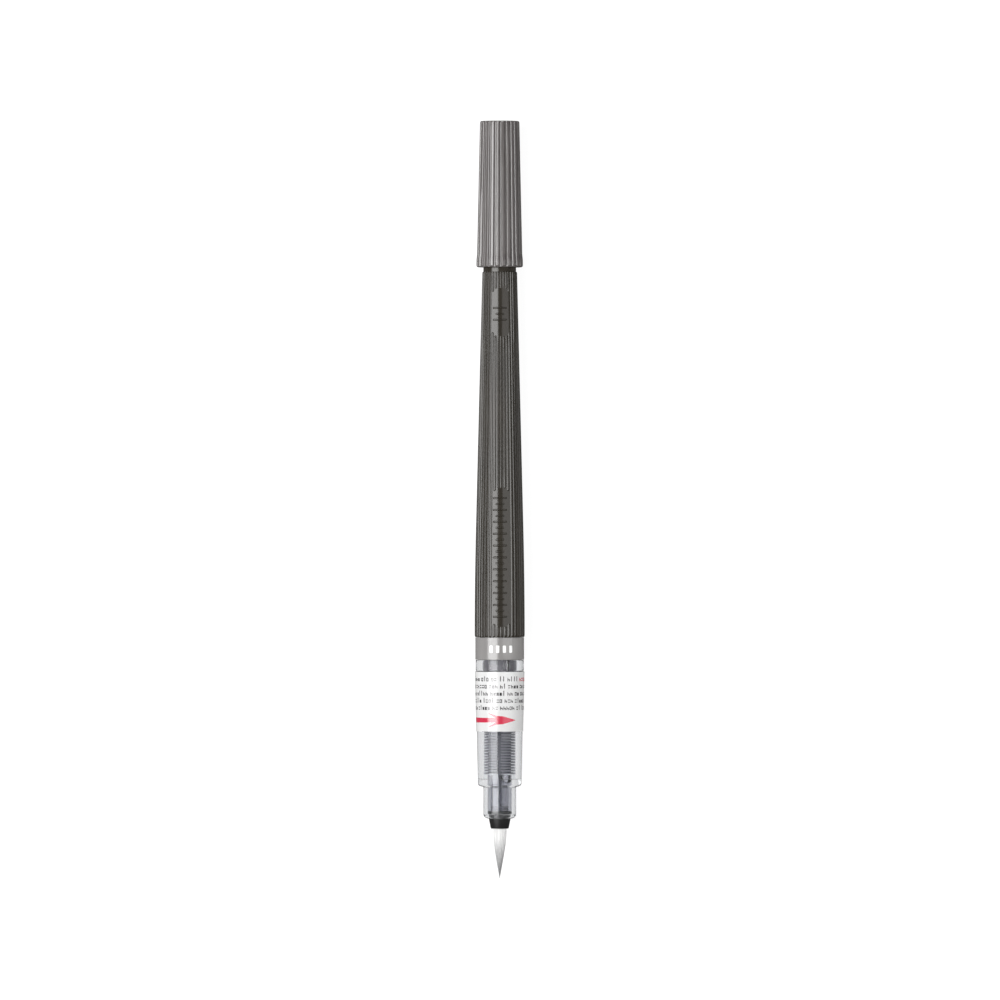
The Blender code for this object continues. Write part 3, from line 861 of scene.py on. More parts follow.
@dataclass(frozen=True)
class PolishedSteel:
    """Lapped bearing steel with hair-fine scratches."""

    name: str = "ball_steel"
    dark: Color = (0.50, 0.50, 0.52)
    light: Color = (0.64, 0.64, 0.66)
    roughness: float = 0.16

    def material(self) -> bpy.types.Material:
        """Builds the node material.

        Returns:
            The material.
        """
        bench = NodeBench(self.name)
        scratches = bench.noise(0.12 * MM, 6.0, bench.stretched(12.0))
        bench.mottle(scratches, (self.dark, self.light), self.roughness, (0.625, 1.375))
        bench.bump(scratches, 0.0006 * MM, 0.3)
        bench.settings(metallic=1.0)
        return bench.material


@dataclass(frozen=True)
class StudioSweep:
    """Pale glowing sweep: white to look at and through clear plastic, but dimmer in reflections."""

    color: Color = (0.15, 0.15, 0.15)
    glow: float = 0.60
    seen_glow: float = 0.34
    roughness: float = 0.9

    def material(self) -> bpy.types.Material:
        """Builds the node material.

        Returns:
            The material.
        """
        bench = NodeBench("studio_paper")
        tooth = bench.noise(3.0 * MM, 3.0)
        bench.mottle(tooth, shades(self.color, 0.01), self.roughness, (1.0, 1.0))
        path = bench.node("ShaderNodeLightPath")
        lit = bench.math("ADD", path.outputs["Is Camera Ray"], path.outputs["Is Diffuse Ray"])
        lit = bench.math("MAXIMUM", lit, path.outputs["Is Transmission Ray"])
        seen = bench.math("MULTIPLY", path.outputs["Is Camera Ray"], self.seen_glow)
        glow = bench.math("ADD", bench.math("MULTIPLY", lit, self.glow), seen)
        bench.link(glow, bench.shader.inputs["Emission Strength"])
        bench.settings(specular_ior_level=0.1, emission_color=(1.0, 1.0, 1.0, 1.0))
        return bench.material


@dataclass(frozen=True)
class Finishes:
    """The finishes of the whole pen, by the piece that wears them."""

    cap: MouldedPlastic = MouldedPlastic("cap_grey", (0.102, 0.092, 0.089), 0.19, 0.98)
    liner: MouldedPlastic = MouldedPlastic("liner_natural", (0.52, 0.51, 0.49), 0.42, 0.4)
    barrel: MouldedPlastic = MouldedPlastic("barrel_smoke", (0.028, 0.0238, 0.0178), 0.16, 0.54, 0.14)
    color_ring: MouldedPlastic = MouldedPlastic("ring_grey", (0.265, 0.257, 0.252), 0.20, 0.82, 0.05)
    collector: FinnedPlastic = FinnedPlastic("collector_grey")
    seat: MouldedPlastic = MouldedPlastic("seat_grey", (0.34, 0.34, 0.37), 0.32)
    ferrule: MouldedPlastic = MouldedPlastic("ferrule_black", (0.012, 0.012, 0.012), 0.38, 0.25)
    feed: MouldedPlastic = MouldedPlastic(
        "feed_fibre", (0.070, 0.070, 0.078), 0.62, 0.3, 0.2, grain=0.03 * MM, grain_depth=0.008 * MM)
    root: MouldedPlastic = MouldedPlastic("root_resin", (0.11, 0.11, 0.115), 0.35)
    plug: MouldedPlastic = MouldedPlastic("plug_natural", (0.46, 0.46, 0.47), 0.36)
    gasket: MouldedPlastic = MouldedPlastic(
        "gasket_rubber", (0.018, 0.018, 0.018), 0.62, 0.3, grain=0.02 * MM, grain_depth=0.003 * MM)
    neck: MouldedPlastic = MouldedPlastic("neck_smoke", (0.058, 0.055, 0.060), 0.30, 0.45, 0.10)
    clear: ClearPlastic = ClearPlastic("clear_plastic", gloss=0.48)
    frosted: ClearPlastic = ClearPlastic(
        "holder_smoke", (0.52, 0.52, 0.56), 0.05, gloss=0.75, ripple=0.002 * MM)
    steel: PolishedSteel = PolishedSteel()
    film: LabelFilm = LabelFilm()


# ---------------------------------------------------------------- sub-assemblies
@dataclass
class SubAssembly:
    """A group of pieces that move together."""

    axis: PenAxis
    finishes: Finishes
    body: ClassVar[Body]

    def add(
        self,
        mesh: bpy.types.Mesh,
        material: bpy.types.Material,
        slot: Slot,
        stands_for: str | None = None,
    ) -> bpy.types.Object:
        """Puts a new piece into the scene.

        Args:
            mesh: The piece's mesh, in the row frame.
            material: Its material.
            slot: The record's slot that the material belongs to; not used.
            stands_for: The CAD node that the piece replaces.

        Returns:
            The piece.
        """
        piece = put_in_scene(mesh.name, mesh)
        mesh.materials.append(material)
        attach(piece, self.body.value)
        if stands_for:
            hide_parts(stands_for)
        LOG.info("made %s: %d faces, on %s", piece.name, len(mesh.polygons), self.body.value)
        return piece

    def dress(self, node: str, material: bpy.types.Material) -> None:
        """Gives a CAD node that keeps its shape a better material.

        Args:
            node: Name of the CAD node.
            material: Its new material.
        """
        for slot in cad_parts[node].material_slots:
            slot.material = material
        LOG.info("dressed %s in %s", node, material.name)


@dataclass
class Cap(SubAssembly):
    """The ribbed cap, posted on the tail, with its inner cup."""

    body: ClassVar[Body] = Body.CAP
    ribs: int = 24
    rib_height: float = 0.38 * MM
    crest_share: float = 0.40
    groove_share: float = 0.16
    turn: float = math.radians(-5.6)
    top_radius: float = 5.12 * MM
    top_round: float = 0.40 * MM
    mouth_round: float = 0.55 * MM
    lip_length: float = 1.8 * MM
    lip_flare: float = 0.12 * MM
    bore: float = 4.45 * MM
    end_wall: float = 1.6 * MM
    rib_fade: float = 0.45 * MM
    liner_gap: float = 0.15 * MM
    points_per_rib: int = 16
    round_steps: int = 9
    length_steps: int = 6

    def __post_init__(self) -> None:
        """Reads the cap's place from the frame."""
        self.reach = self.axis.extent("cap_shell")
        self.liner = self.axis.extent("cap_liner")

    def crest_radius(self, station: float) -> float:
        """Radius of the ribs' crests, with the flare of the mouth and the rounding of both ends.

        Args:
            station: Distance behind the brush tip.

        Returns:
            The radius.
        """
        past_mouth = station - self.reach.front
        mouth = self.reach.radius - self.lip_flare
        radius = between(mouth, self.top_radius, past_mouth / self.reach.length)
        radius += self.lip_flare * (1.0 - smoothstep(self.lip_length, 2 * self.lip_length, past_mouth))
        radius -= self.mouth_round * rounded_off(past_mouth, self.mouth_round)
        radius -= self.top_round * rounded_off(self.reach.rear - station, self.top_round)
        return radius

    def relief(self, station: float, angle: float) -> float:
        """Radius of the ribbed skin.

        Args:
            station: Distance behind the brush tip.
            angle: Angle round the axis.

        Returns:
            The radius.
        """
        pitch = FULL_TURN / self.ribs
        share = abs((angle - self.turn + pitch / 2) % pitch / pitch - 0.5)
        depth = smoothstep(self.crest_share / 2, 0.5 - self.groove_share / 2, share)
        to_end = min(station - self.reach.front, self.reach.rear - station)
        fade = smoothstep(0.0, self.rib_fade, to_end)
        return self.crest_radius(station) - self.rib_height * depth * fade

    def end_stations(self) -> list[float]:
        """Sets out the skin's rings: close together over the rounded ends, wide apart between.

        Returns:
            Their stations in order.
        """
        stations = []
        for end, inward, rounding in (
            (self.reach.front, 1.0, self.mouth_round),
            (self.reach.rear, -1.0, self.top_round),
        ):
            for step in range(self.round_steps + 1):
                turned_by = math.pi / 2 * step / self.round_steps
                stations.append(end + inward * rounding * (1.0 - math.cos(turned_by)))
        lip = self.reach.front + self.lip_length
        flare_end, top = lip + self.lip_length, self.reach.rear - self.top_round
        shares = [step / self.length_steps for step in range(self.length_steps + 1)]
        stations += [lip + self.lip_length * share for share in shares]
        stations += [between(flare_end, top, share) for share in shares[1:-1]]
        return sorted(set(stations))

    def build(self) -> None:
        """Makes the shell and dresses the inner cup."""
        step = self.liner.front - SEAM
        seat = self.liner.radius + self.liner_gap
        inside = filleted([
            Corner(seat, self.reach.rear - self.end_wall),
            Corner(seat, step),
            Corner(self.bore, step, 0.1 * MM),
            Corner(self.bore, self.reach.front, 0.2 * MM),
            Corner(self.reach.radius, self.reach.front),
        ], closed=False)[:-1]
        outside = [Ring(station, 0.0, self.relief) for station in self.end_stations()]
        mesh = ring_mesh(
            "cap_ribbed_shell", self.axis, [*inside, *outside], self.ribs * self.points_per_rib, closed=False)
        self.add(mesh, self.finishes.cap.material(), Slot.CAP, "cap_shell")
        self.dress("cap_liner", self.finishes.liner.material())


@dataclass(frozen=True)
class SmoothPanel:
    """A smooth panel on the barrel, where the ribs stop with round ends."""

    front: float
    rear: float
    rib_setbacks: tuple[float, ...]

    def inside_rib_end(self, station: float, rib: int) -> float:
        """How far a station lies inside the ribbed part of one rib.

        Args:
            station: Distance behind the brush tip.
            rib: The rib's number, counted both ways from the panel's middle.

        Returns:
            The distance to the rib's end: positive on the rib, negative on the panel.
        """
        if abs(rib) >= len(self.rib_setbacks):
            return math.inf
        setback = self.rib_setbacks[abs(rib)]
        return max(self.front + setback - station, station - self.rear + setback)


@dataclass(frozen=True)
class RaisedBars:
    """A plain row of raised bars along a smooth panel, every second one short."""

    first: float
    pitch: float
    count: int
    reach: float = 1.90 * MM
    short_reach: float = 1.15 * MM
    width: float = 0.60 * MM
    height: float = 0.19 * MM
    sunk: float = 0.03 * MM
    slope: float = 0.75
    across: int = 14
    along: int = 8

    def mesh(
        self, name: str, axis: PenAxis, radius_at: Callable[[float], float], middle: float
    ) -> bpy.types.Mesh:
        """Makes the bars as small pillows that rise out of the panel.

        Args:
            name: Name of the mesh.
            axis: The pen's axis.
            radius_at: Radius of the panel at a station.
            middle: Angle of the panel's middle.

        Returns:
            One mesh of all the bars.
        """
        points: list[Vector] = []
        faces: list[list[int]] = []
        for bar in range(self.count):
            reach = self.short_reach if bar % 2 else self.reach
            centre = self.first + bar * self.pitch
            start = len(points)
            for row in range(self.along + 1):
                along = 2.0 * row / self.along - 1.0
                station = centre + along * self.width / 2
                base = radius_at(station)
                for column in range(self.across + 1):
                    way = 2.0 * column / self.across - 1.0
                    to_side = 1.0 - abs(along)
                    to_end = (1.0 - abs(way)) * reach / (self.width / 2)
                    rise = smoothstep(0.0, self.slope, to_side) * smoothstep(0.0, self.slope, to_end)
                    radius = base - self.sunk + (self.height + self.sunk) * rise
                    points.append(axis.point(station, radius, middle + way * reach / base))
            faces += grid_faces(start, self.along + 1, self.across + 1)
        return make_mesh(name, points, faces)


@dataclass
class SqueezeBarrel(SubAssembly):
    """The ink barrel that is squeezed: ribbed grip, tail for the cap, threaded neck and its plug.

    A panel is given by its distance from the grip's nearer end and its length, and a row of bars by its
    distance from the panel's front and its count.
    """

    body: ClassVar[Body] = Body.CARTRIDGE
    ribs: int = 40
    rib_height: float = 0.20 * MM
    crest_share: float = 0.28
    groove_share: float = 0.28
    turn: float = math.radians(4.5)
    grip_length: float = 94.9 * MM
    front_round: float = 0.7 * MM
    rear_round: float = 0.35 * MM
    rear_radius: float = 4.53 * MM
    tail_radius: float = 4.25 * MM
    tail_round: float = 1.0 * MM
    ease: float = 0.30
    collar_radius: float = 4.95 * MM
    neck_radius: float = 4.40 * MM
    neck_bore: float = 3.15 * MM
    thread_height: float = 0.45 * MM
    thread_setback: float = 5.8 * MM
    collar_setback: float = 1.0 * MM
    neck_overlap: float = 1.2 * MM
    step_over_ring: float = 0.18 * MM
    long_panel: Span = (2.7 * MM, 36.0 * MM)
    short_panel: Span = (4.3 * MM, 12.4 * MM)
    bars_turn: float = math.radians(0.5)
    bar_pitch: float = 1.54 * MM
    long_bars: tuple[float, int] = (2.6 * MM, 21)
    short_bars: tuple[float, int] = (4.2 * MM, 3)
    points_per_rib: int = 16
    length_steps: int = 20
    round_steps: int = 8
    panel_step: float = 0.11 * MM
    panel_margin: float = 0.1 * MM
    rib_end_length: float = 0.7 * MM

    def __post_init__(self) -> None:
        """Reads the barrel's place from the frame and sets out its panels."""
        self.reach = self.axis.extent("ink_barrel")
        ring = self.axis.extent("color_ring")
        self.collar_front = ring.front + self.collar_setback
        self.grip_front = ring.rear + SEAM
        self.grip_rear = self.grip_front + self.grip_length
        self.front_radius = ring.radius + self.step_over_ring
        self.thread_start = self.axis.extent("front_housing").rear - self.thread_setback
        setback, length = self.long_panel
        front = self.grip_front + setback
        long_panel = SmoothPanel(front, front + length, (0.0, 0.20 * MM, 0.90 * MM))
        setback, length = self.short_panel
        rear = self.grip_rear - setback
        self.panels = (long_panel, SmoothPanel(rear - length, rear, (0.0, 0.0, 0.25 * MM, 1.05 * MM)))

    def crest_radius(self, station: float) -> float:
        """Radius of the ribs' crests: level in front, then a taper that ends as a straight cone.

        Args:
            station: Distance behind the brush tip.

        Returns:
            The radius.
        """
        share = min(max((station - self.grip_front) / self.grip_length, 0.0), 1.0)
        fall = share - self.ease / 2 if share > self.ease else share ** 2 / (2 * self.ease)
        return between(self.front_radius, self.rear_radius, fall / (1.0 - self.ease / 2))

    def groove_radius(self, station: float) -> float:
        """Radius of the grooves and the smooth panels."""
        return self.crest_radius(station) - self.rib_height

    def relief(self, station: float, angle: float) -> float:
        """Radius of the grip's skin, with its ribs, panels and rounded ends.

        Args:
            station: Distance behind the brush tip.
            angle: Angle round the axis.

        Returns:
            The radius.
        """
        pitch = FULL_TURN / self.ribs
        crest = self.crest_radius(station)
        place = (angle - self.turn) / pitch
        rib = round(place)
        across = abs(place - rib)
        number = (rib + self.ribs // 2) % self.ribs - self.ribs // 2
        inside = min(panel.inside_rib_end(station, number) for panel in self.panels)
        half_rib = pitch * crest / 2
        short_of_end = (half_rib - inside) / (2 * half_rib)
        if short_of_end > 0.0:
            across = math.hypot(across, short_of_end)
        depth = smoothstep(self.crest_share / 2, 0.5 - self.groove_share / 2, across)
        for distance, rounding in (
            (station - self.grip_front, self.front_round),
            (self.grip_rear - station, self.rear_round),
        ):
            depth = between(depth, 1.0, rounded_off(distance, rounding))
        return crest - self.rib_height * depth

    def grip_stations(self) -> list[float]:
        """Sets out the grip's rings, close together where the ribs end.

        Returns:
            Their stations in order.
        """
        parts = self.length_steps
        stations = [between(self.grip_front, self.grip_rear, part / parts) for part in range(1, parts)]
        for step in range(self.round_steps + 1):
            eased = 1.0 - math.cos(math.pi / 2 * step / self.round_steps)
            stations.append(self.grip_front + self.front_round * eased)
            stations.append(self.grip_rear - self.rear_round * eased)
        for panel in self.panels:
            reach = panel.rib_setbacks[-1] + self.rib_end_length
            count = math.ceil((reach + self.panel_margin) / self.panel_step)
            for step in range(count + 1):
                share = step / count
                stations.append(between(panel.front - self.panel_margin, panel.front + reach, share))
                stations.append(between(panel.rear + self.panel_margin, panel.rear - reach, share))
        return sorted(set(stations))

    def build_grip(self) -> bpy.types.Mesh:
        """Makes the ribbed grip with the tail behind it.

        Returns:
            The grip's mesh.
        """
        core = self.collar_radius - 0.3 * MM
        front_face = [
            Ring(self.grip_front, core),
            Ring(self.grip_front, self.front_radius - self.rib_height - 0.12 * MM),
        ]
        skin = [Ring(station, 0.0, self.relief) for station in self.grip_stations()]
        tail = filleted([
            Corner(self.rear_radius - self.rib_height, self.grip_rear),
            Corner(self.tail_radius, self.grip_rear, 0.03 * MM),
            Corner(self.tail_radius, self.reach.rear, self.tail_round),
            Corner(self.tail_radius / 4, self.reach.rear),
        ], closed=False)[1:]
        steps = self.ribs * self.points_per_rib
        return ring_mesh("ribbed_grip", self.axis, [*front_face, *skin, *tail], steps, closed=False)

    def build_neck(self) -> bpy.types.Mesh:
        """Makes the neck that screws into the brush head.

        Returns:
            The neck's mesh.
        """
        inside_grip = self.grip_front + self.neck_overlap
        rings = filleted([
            Corner(self.neck_bore, inside_grip),
            Corner(self.neck_bore, self.reach.front, 0.15 * MM),
            Corner(self.neck_radius, self.reach.front, 0.15 * MM),
            Corner(self.neck_radius, self.collar_front, 0.05 * MM),
            Corner(self.collar_radius, self.collar_front, 0.1 * MM),
            Corner(self.collar_radius, inside_grip),
        ])
        return ring_mesh("barrel_neck", self.axis, rings)

    def build(self) -> None:
        """Makes the barrel and its thread and dresses the plug."""
        smoke = self.finishes.barrel.material()
        self.add(self.build_grip(), smoke, Slot.BARREL, "ink_barrel")
        names = ("long_panel_bars", "short_panel_bars")
        for name, panel, (setback, count) in zip(names, self.panels, (self.long_bars, self.short_bars)):
            bars = RaisedBars(panel.front + setback, self.bar_pitch, count)
            mesh = bars.mesh(name, self.axis, self.groove_radius, self.bars_turn)
            self.add(mesh, smoke, Slot.BARREL)
        neck = self.finishes.neck.material()
        self.add(self.build_neck(), neck, Slot.BARREL, "ink_barrel")
        ridge = ThreadRidge(
            self.thread_start, self.neck_radius - 0.1 * MM, self.neck_radius + self.thread_height)
        self.add(ridge.mesh("neck_thread", self.axis), neck, Slot.BARREL, "ink_barrel")
        self.dress("neck_plug", self.finishes.plug.material())


@dataclass
class ColorRing(SubAssembly):
    """The ring that shows the ink's shade, with a row of plain printed bars."""

    body: ClassVar[Body] = Body.CARTRIDGE
    lip: float = 0.9 * MM
    bore: float = 5.10 * MM
    lip_bore: float = 4.55 * MM
    bars: int = 4
    bar_height: float = 1.9 * MM
    bar_width: float = 0.85 * MM
    bar_pitch: float = 1.75 * MM
    bars_centre: float = 0.35 * MM
    corner_cut: float = 0.16 * MM
    print_place: float = 0.48
    print_rise: float = 0.012 * MM

    def __post_init__(self) -> None:
        """Reads the ring's place from the frame."""
        self.reach = self.axis.extent("color_ring")

    def build_ring(self) -> bpy.types.Mesh:
        """Makes the ring.

        Returns:
            The ring's mesh.
        """
        reach = self.reach
        rings = filleted([
            Corner(reach.radius, reach.rear, 0.10 * MM),
            Corner(reach.radius, reach.front, 0.10 * MM),
            Corner(self.lip_bore, reach.front, 0.08 * MM),
            Corner(self.lip_bore, reach.front + self.lip),
            Corner(self.bore, reach.front + self.lip),
            Corner(self.bore, reach.rear, 0.08 * MM),
        ])
        return ring_mesh("shade_ring", self.axis, rings)

    def build_bars(self) -> bpy.types.Mesh:
        """Makes the printed bars.

        Returns:
            The bars' mesh.
        """
        strips = []
        for bar in range(self.bars):
            centre = self.bars_centre + (bar - (self.bars - 1) / 2) * self.bar_pitch
            half, rise, cut = self.bar_width / 2, self.bar_height / 2, self.corner_cut
            strips.append(PrintedStrip((
                (centre - half, cut - rise, rise - cut),
                (centre - half + cut, -rise, rise),
                (centre + half - cut, -rise, rise),
                (centre + half, cut - rise, rise - cut),
            )))
        middle = between(self.reach.front, self.reach.rear, self.print_place)
        face = self.reach.radius + self.print_rise
        return printed_mesh("shade_bars", self.axis, strips, middle, lambda station: face)

    def build(self) -> None:
        """Makes the ring and its print."""
        self.add(self.build_ring(), self.finishes.color_ring.material(), Slot.COLOR_RING, "color_ring")
        self.add(self.build_bars(), PrintInk(PrintTone.WHITE).material(), Slot.COLOR_RING)


@dataclass
class StopRing(SubAssembly):
    """The clear split ring that keeps the cartridge from being screwed home."""

    body: ClassVar[Body] = Body.STOP_RING
    slit: float = 0.5 * MM
    slit_angle: float = math.radians(20.0)
    inner_radius: float = 4.70 * MM
    rounding: float = 0.14 * MM

    def __post_init__(self) -> None:
        """Reads the ring's place from the frame."""
        self.reach = self.axis.extent("stop_ring")

    def build(self) -> None:
        """Makes the ring."""
        reach = self.reach
        rings = filleted([
            Corner(reach.radius, reach.rear, self.rounding),
            Corner(reach.radius, reach.front, self.rounding),
            Corner(self.inner_radius, reach.front, self.rounding / 2),
            Corner(self.inner_radius, reach.rear, self.rounding / 2),
        ])
        half = self.slit / 2 / reach.radius
        sweep = (self.slit_angle + half, self.slit_angle + FULL_TURN - half)
        mesh = ring_mesh("split_stop_ring", self.axis, rings, sweep=sweep)
        self.add(mesh, self.finishes.clear.material(), Slot.CLEAR, "stop_ring")


@dataclass
class FrontHousing(SubAssembly):
    """The clear housing: a nose for the cap, a window on the collector, a threaded socket and the label."""

    body: ClassVar[Body] = Body.BRUSH_HEAD
    nose_length: float = 8.2 * MM
    nose_radius: float = 4.25 * MM
    nose_round: float = 1.2 * MM
    nose_hole: float = 2.98 * MM
    nose_lip: float = 1.1 * MM
    nose_bore: float = 3.30 * MM
    shoulder_length: float = 0.9 * MM
    shoulder_rise: float = 0.35 * MM
    floor_thickness: float = 1.2 * MM
    window_radius: float = 5.65 * MM
    collector_bore: float = 4.25 * MM
    socket_radius: float = 5.00 * MM
    thread_height: float = 0.45 * MM
    thread_setback: float = 4.8 * MM
    film_thickness: float = 0.12 * MM
    line_count: int = 5
    line_pitch: float = 1.86 * MM
    last_line: float = 2.0 * MM
    mark_height: float = 0.92 * MM
    mark_width: float = 0.66 * MM
    heading: Span = (3.6 * MM, 7.5 * MM)
    arrow_from_front: float = 2.95 * MM
    print_rise: float = 0.012 * MM
    shell_steps: int = 192
    seed: int = 11

    def __post_init__(self) -> None:
        """Reads the housing's place from the frame."""
        self.reach = self.axis.extent("front_housing")
        self.label = self.axis.extent("label_wrap")
        self.collector = self.axis.extent("ink_collector")
        self.window_front = self.reach.front + self.nose_length + self.shoulder_length

    def outer_radius(self, station: float) -> float:
        """Radius of the housing behind its shoulder."""
        share = (station - self.window_front) / (self.reach.rear - self.window_front)
        return between(self.window_radius, self.reach.radius, share)

    def label_radius(self, station: float) -> float:
        """Radius of the label's face."""
        return self.outer_radius(station) + self.label.radius - self.outer_radius(self.label.rear)

    def print_radius(self, station: float) -> float:
        """Radius of the ink on the label's face."""
        return self.label_radius(station) + self.print_rise

    def build_shell(self) -> bpy.types.Mesh:
        """Makes the clear shell.

        Returns:
            The shell's mesh.
        """
        reach, shoulder = self.reach, self.reach.front + self.nose_length
        floor = self.window_front + self.floor_thickness
        socket = self.collector.rear + SEAM
        rings = filleted([
            Corner(reach.radius, reach.rear, 0.12 * MM),
            Corner(self.window_radius, shoulder + self.shoulder_rise, 0.75 * MM),
            Corner(self.nose_radius, shoulder, 0.20 * MM),
            Corner(self.nose_radius, reach.front, self.nose_round),
            Corner(self.nose_hole, reach.front, 0.06 * MM),
            Corner(self.nose_hole, reach.front + self.nose_lip, 0.05 * MM),
            Corner(self.nose_bore, reach.front + self.nose_lip, 0.05 * MM),
            Corner(self.nose_bore, floor, 0.08 * MM),
            Corner(self.collector_bore, floor, 0.12 * MM),
            Corner(self.collector_bore, socket, 0.05 * MM),
            Corner(self.socket_radius, socket, 0.1 * MM),
            Corner(self.socket_radius, reach.rear, 0.15 * MM),
        ], steps=6)
        return ring_mesh("clear_shell", self.axis, rings, self.shell_steps)

    def build_label(self) -> bpy.types.Mesh:
        """Makes the label, a thin sleeve glued round the housing.

        Returns:
            The label's mesh.
        """
        front, rear = self.label.front, self.label.rear
        face = [Corner(self.label_radius(end), end, 0.02 * MM) for end in (rear, front)]
        glue = [Corner(self.label_radius(end) - self.film_thickness, end) for end in (front, rear)]
        return ring_mesh("label_sleeve", self.axis, filleted([*face, *glue]))

    def mark(self, shape: MarkShape, way: float, low: float) -> list[PrintedStrip]:
        """Sets out one mark of the small print.

        Args:
            shape: The mark's shape.
            way: Way round the label of its left edge.
            low: Its lower edge.

        Returns:
            Its strokes.
        """
        strokes = []
        for left, right, bottom, top in shape.value:
            edges = (low + bottom * self.mark_height, low + top * self.mark_height)
            strokes.append(PrintedStrip((
                (way + left * self.mark_width, *edges), (way + right * self.mark_width, *edges))))
        return strokes

    def print_lines(self) -> tuple[list[PrintedStrip], list[PrintedStrip]]:
        """Sets out the label's small print as rows of plain marks with gaps.

        Returns:
            The black marks and the few red ones, measured from the last row's station.
        """
        chance = random.Random(self.seed)
        black: list[PrintedStrip] = []
        red: list[PrintedStrip] = []
        half_way = math.pi * self.label.radius
        for line in range(self.line_count):
            low = -line * self.line_pitch - self.mark_height / 2
            way = chance.uniform(0.6, 1.6) * MM - half_way
            while way < half_way - 4.0 * MM:
                word = red if line == 0 and self.heading[0] < way < self.heading[1] else black
                for _ in range(chance.randint(2, 5)):
                    word += self.mark(chance.choice(tuple(MarkShape)), way, low)
                    way += self.mark_width * chance.uniform(1.22, 1.36)
                way += self.mark_width * 0.75
        return black, red

    def arrow(self) -> list[PrintedStrip]:
        """Sets out the arrow that shows which way to turn the barrel.

        Returns:
            Its shaft, its head and the two barbs behind the head.
        """
        shaft = 0.66 * MM
        tail, throat, belly, point = -9.0 * MM, -0.85 * MM, 0.85 * MM, 4.45 * MM
        barb, back, wide, full, sharp = -3.0 * MM, 1.84 * MM, 1.14 * MM, 1.02 * MM, 0.04 * MM
        strips = [
            PrintedStrip(((tail, -shaft, shaft), (throat, -0.85 * shaft, 0.85 * shaft))),
            PrintedStrip(((throat, -wide, wide), (belly, -full, full), (point, -sharp, sharp))),
        ]
        for side in (1.0, -1.0):
            inner = ((barb, back - 0.14 * MM), (barb / 2, 0.84 * MM), (throat, 0.5 * shaft))
            outer = (back, 1.44 * MM, wide)
            columns = tuple((way, side * low, side * high) for (way, low), high in zip(inner, outer))
            strips.append(PrintedStrip(columns))
        return strips

    def build(self) -> None:
        """Makes the shell with its thread, the label and the print on it."""
        clear = self.finishes.clear.material()
        self.add(self.build_shell(), clear, Slot.CLEAR, "front_housing")
        start = self.reach.rear - self.thread_setback
        ridge = ThreadRidge(start, self.socket_radius + 0.1 * MM, self.socket_radius - self.thread_height)
        self.add(ridge.mesh("socket_thread", self.axis), clear, Slot.CLEAR, "front_housing")
        self.add(self.build_label(), self.finishes.film.material(), Slot.LABEL, "label_wrap")
        black, red = self.print_lines()
        last = self.label.rear - self.last_line
        for name, strips, tone in (
            ("label_print", black, PrintTone.BLACK),
            ("label_print_red", red, PrintTone.RED),
        ):
            mesh = printed_mesh(name, self.axis, strips, last, self.print_radius)
            self.add(mesh, PrintInk(tone).material(), Slot.LABEL)
        centre = self.label.front + self.arrow_from_front
        arrow = printed_mesh("label_arrow", self.axis, self.arrow(), centre, self.print_radius)
        self.add(arrow, PrintInk(PrintTone.RED).material(), Slot.LABEL)


@dataclass
class InkFeed(SubAssembly):
    """What leads the ink from the cartridge to the brush: finned collector, tubes, rod and gasket."""

    body: ClassVar[Body] = Body.BRUSH_HEAD
    hub_radius: float = 2.95 * MM
    rod_bore: float = 0.70 * MM
    fin_pitch: float = 0.715 * MM
    fin_thickness: float = 0.36 * MM
    fin_round: float = 0.05 * MM
    slit: float = 1.0 * MM
    steps: int = 180

    def __post_init__(self) -> None:
        """Reads the collector's place from the frame."""
        self.reach = self.axis.extent("ink_collector")

    def fin_relief(self, fin_radius: float) -> ReliefFunction:
        """Radius of the fins, which stop at the air slit on top.

        Args:
            fin_radius: Radius of the fins' rims.

        Returns:
            A function of station and angle.
        """
        half = math.asin(self.slit / 2 / fin_radius)

        def radius(station: float, angle: float) -> float:
            """Radius of a fin's rim at an angle, the same at every station."""
            from_slit = abs((angle + math.pi) % FULL_TURN - math.pi)
            return self.hub_radius if from_slit < half else fin_radius
        return radius

    def build_collector(self) -> bpy.types.Mesh:
        """Makes the finned hub.

        Returns:
            The collector's mesh.
        """
        pitches = (self.reach.length - self.fin_thickness) / self.fin_pitch
        fins = int(pitches + 1e-6) + 1      # the small number keeps a whole one from being cut down
        rim = self.fin_relief(self.reach.radius)
        edge = self.fin_relief(self.reach.radius - self.fin_round)
        rings = [Ring(self.reach.rear, self.rod_bore), Ring(self.reach.rear, self.hub_radius)]
        for fin in reversed(range(fins)):
            front = self.reach.front + fin * self.fin_pitch
            rear = front + self.fin_thickness
            rings += [
                Ring(rear, self.hub_radius),
                Ring(rear, 0.0, edge),
                Ring(rear - self.fin_round, 0.0, rim),
                Ring(front + self.fin_round, 0.0, rim),
                Ring(front, 0.0, edge),
                Ring(front, self.hub_radius),
            ]
        rings.append(Ring(self.reach.front, self.rod_bore))
        return ring_mesh("finned_collector", self.axis, rings, self.steps)

    def build(self) -> None:
        """Makes the collector and dresses what goes through it."""
        finned = self.finishes.collector.material(self.axis.height, self.hub_radius, self.reach.radius)
        self.add(self.build_collector(), finned, Slot.COLLECTOR, "ink_collector")
        seat = self.finishes.seat.material()
        for node in ("tube_seat", "piercing_tube"):
            self.dress(node, seat)
        self.dress("feed_rod", self.finishes.feed.material())
        self.dress("feed_tube", self.finishes.clear.material())
        self.dress("neck_gasket", self.finishes.gasket.material())


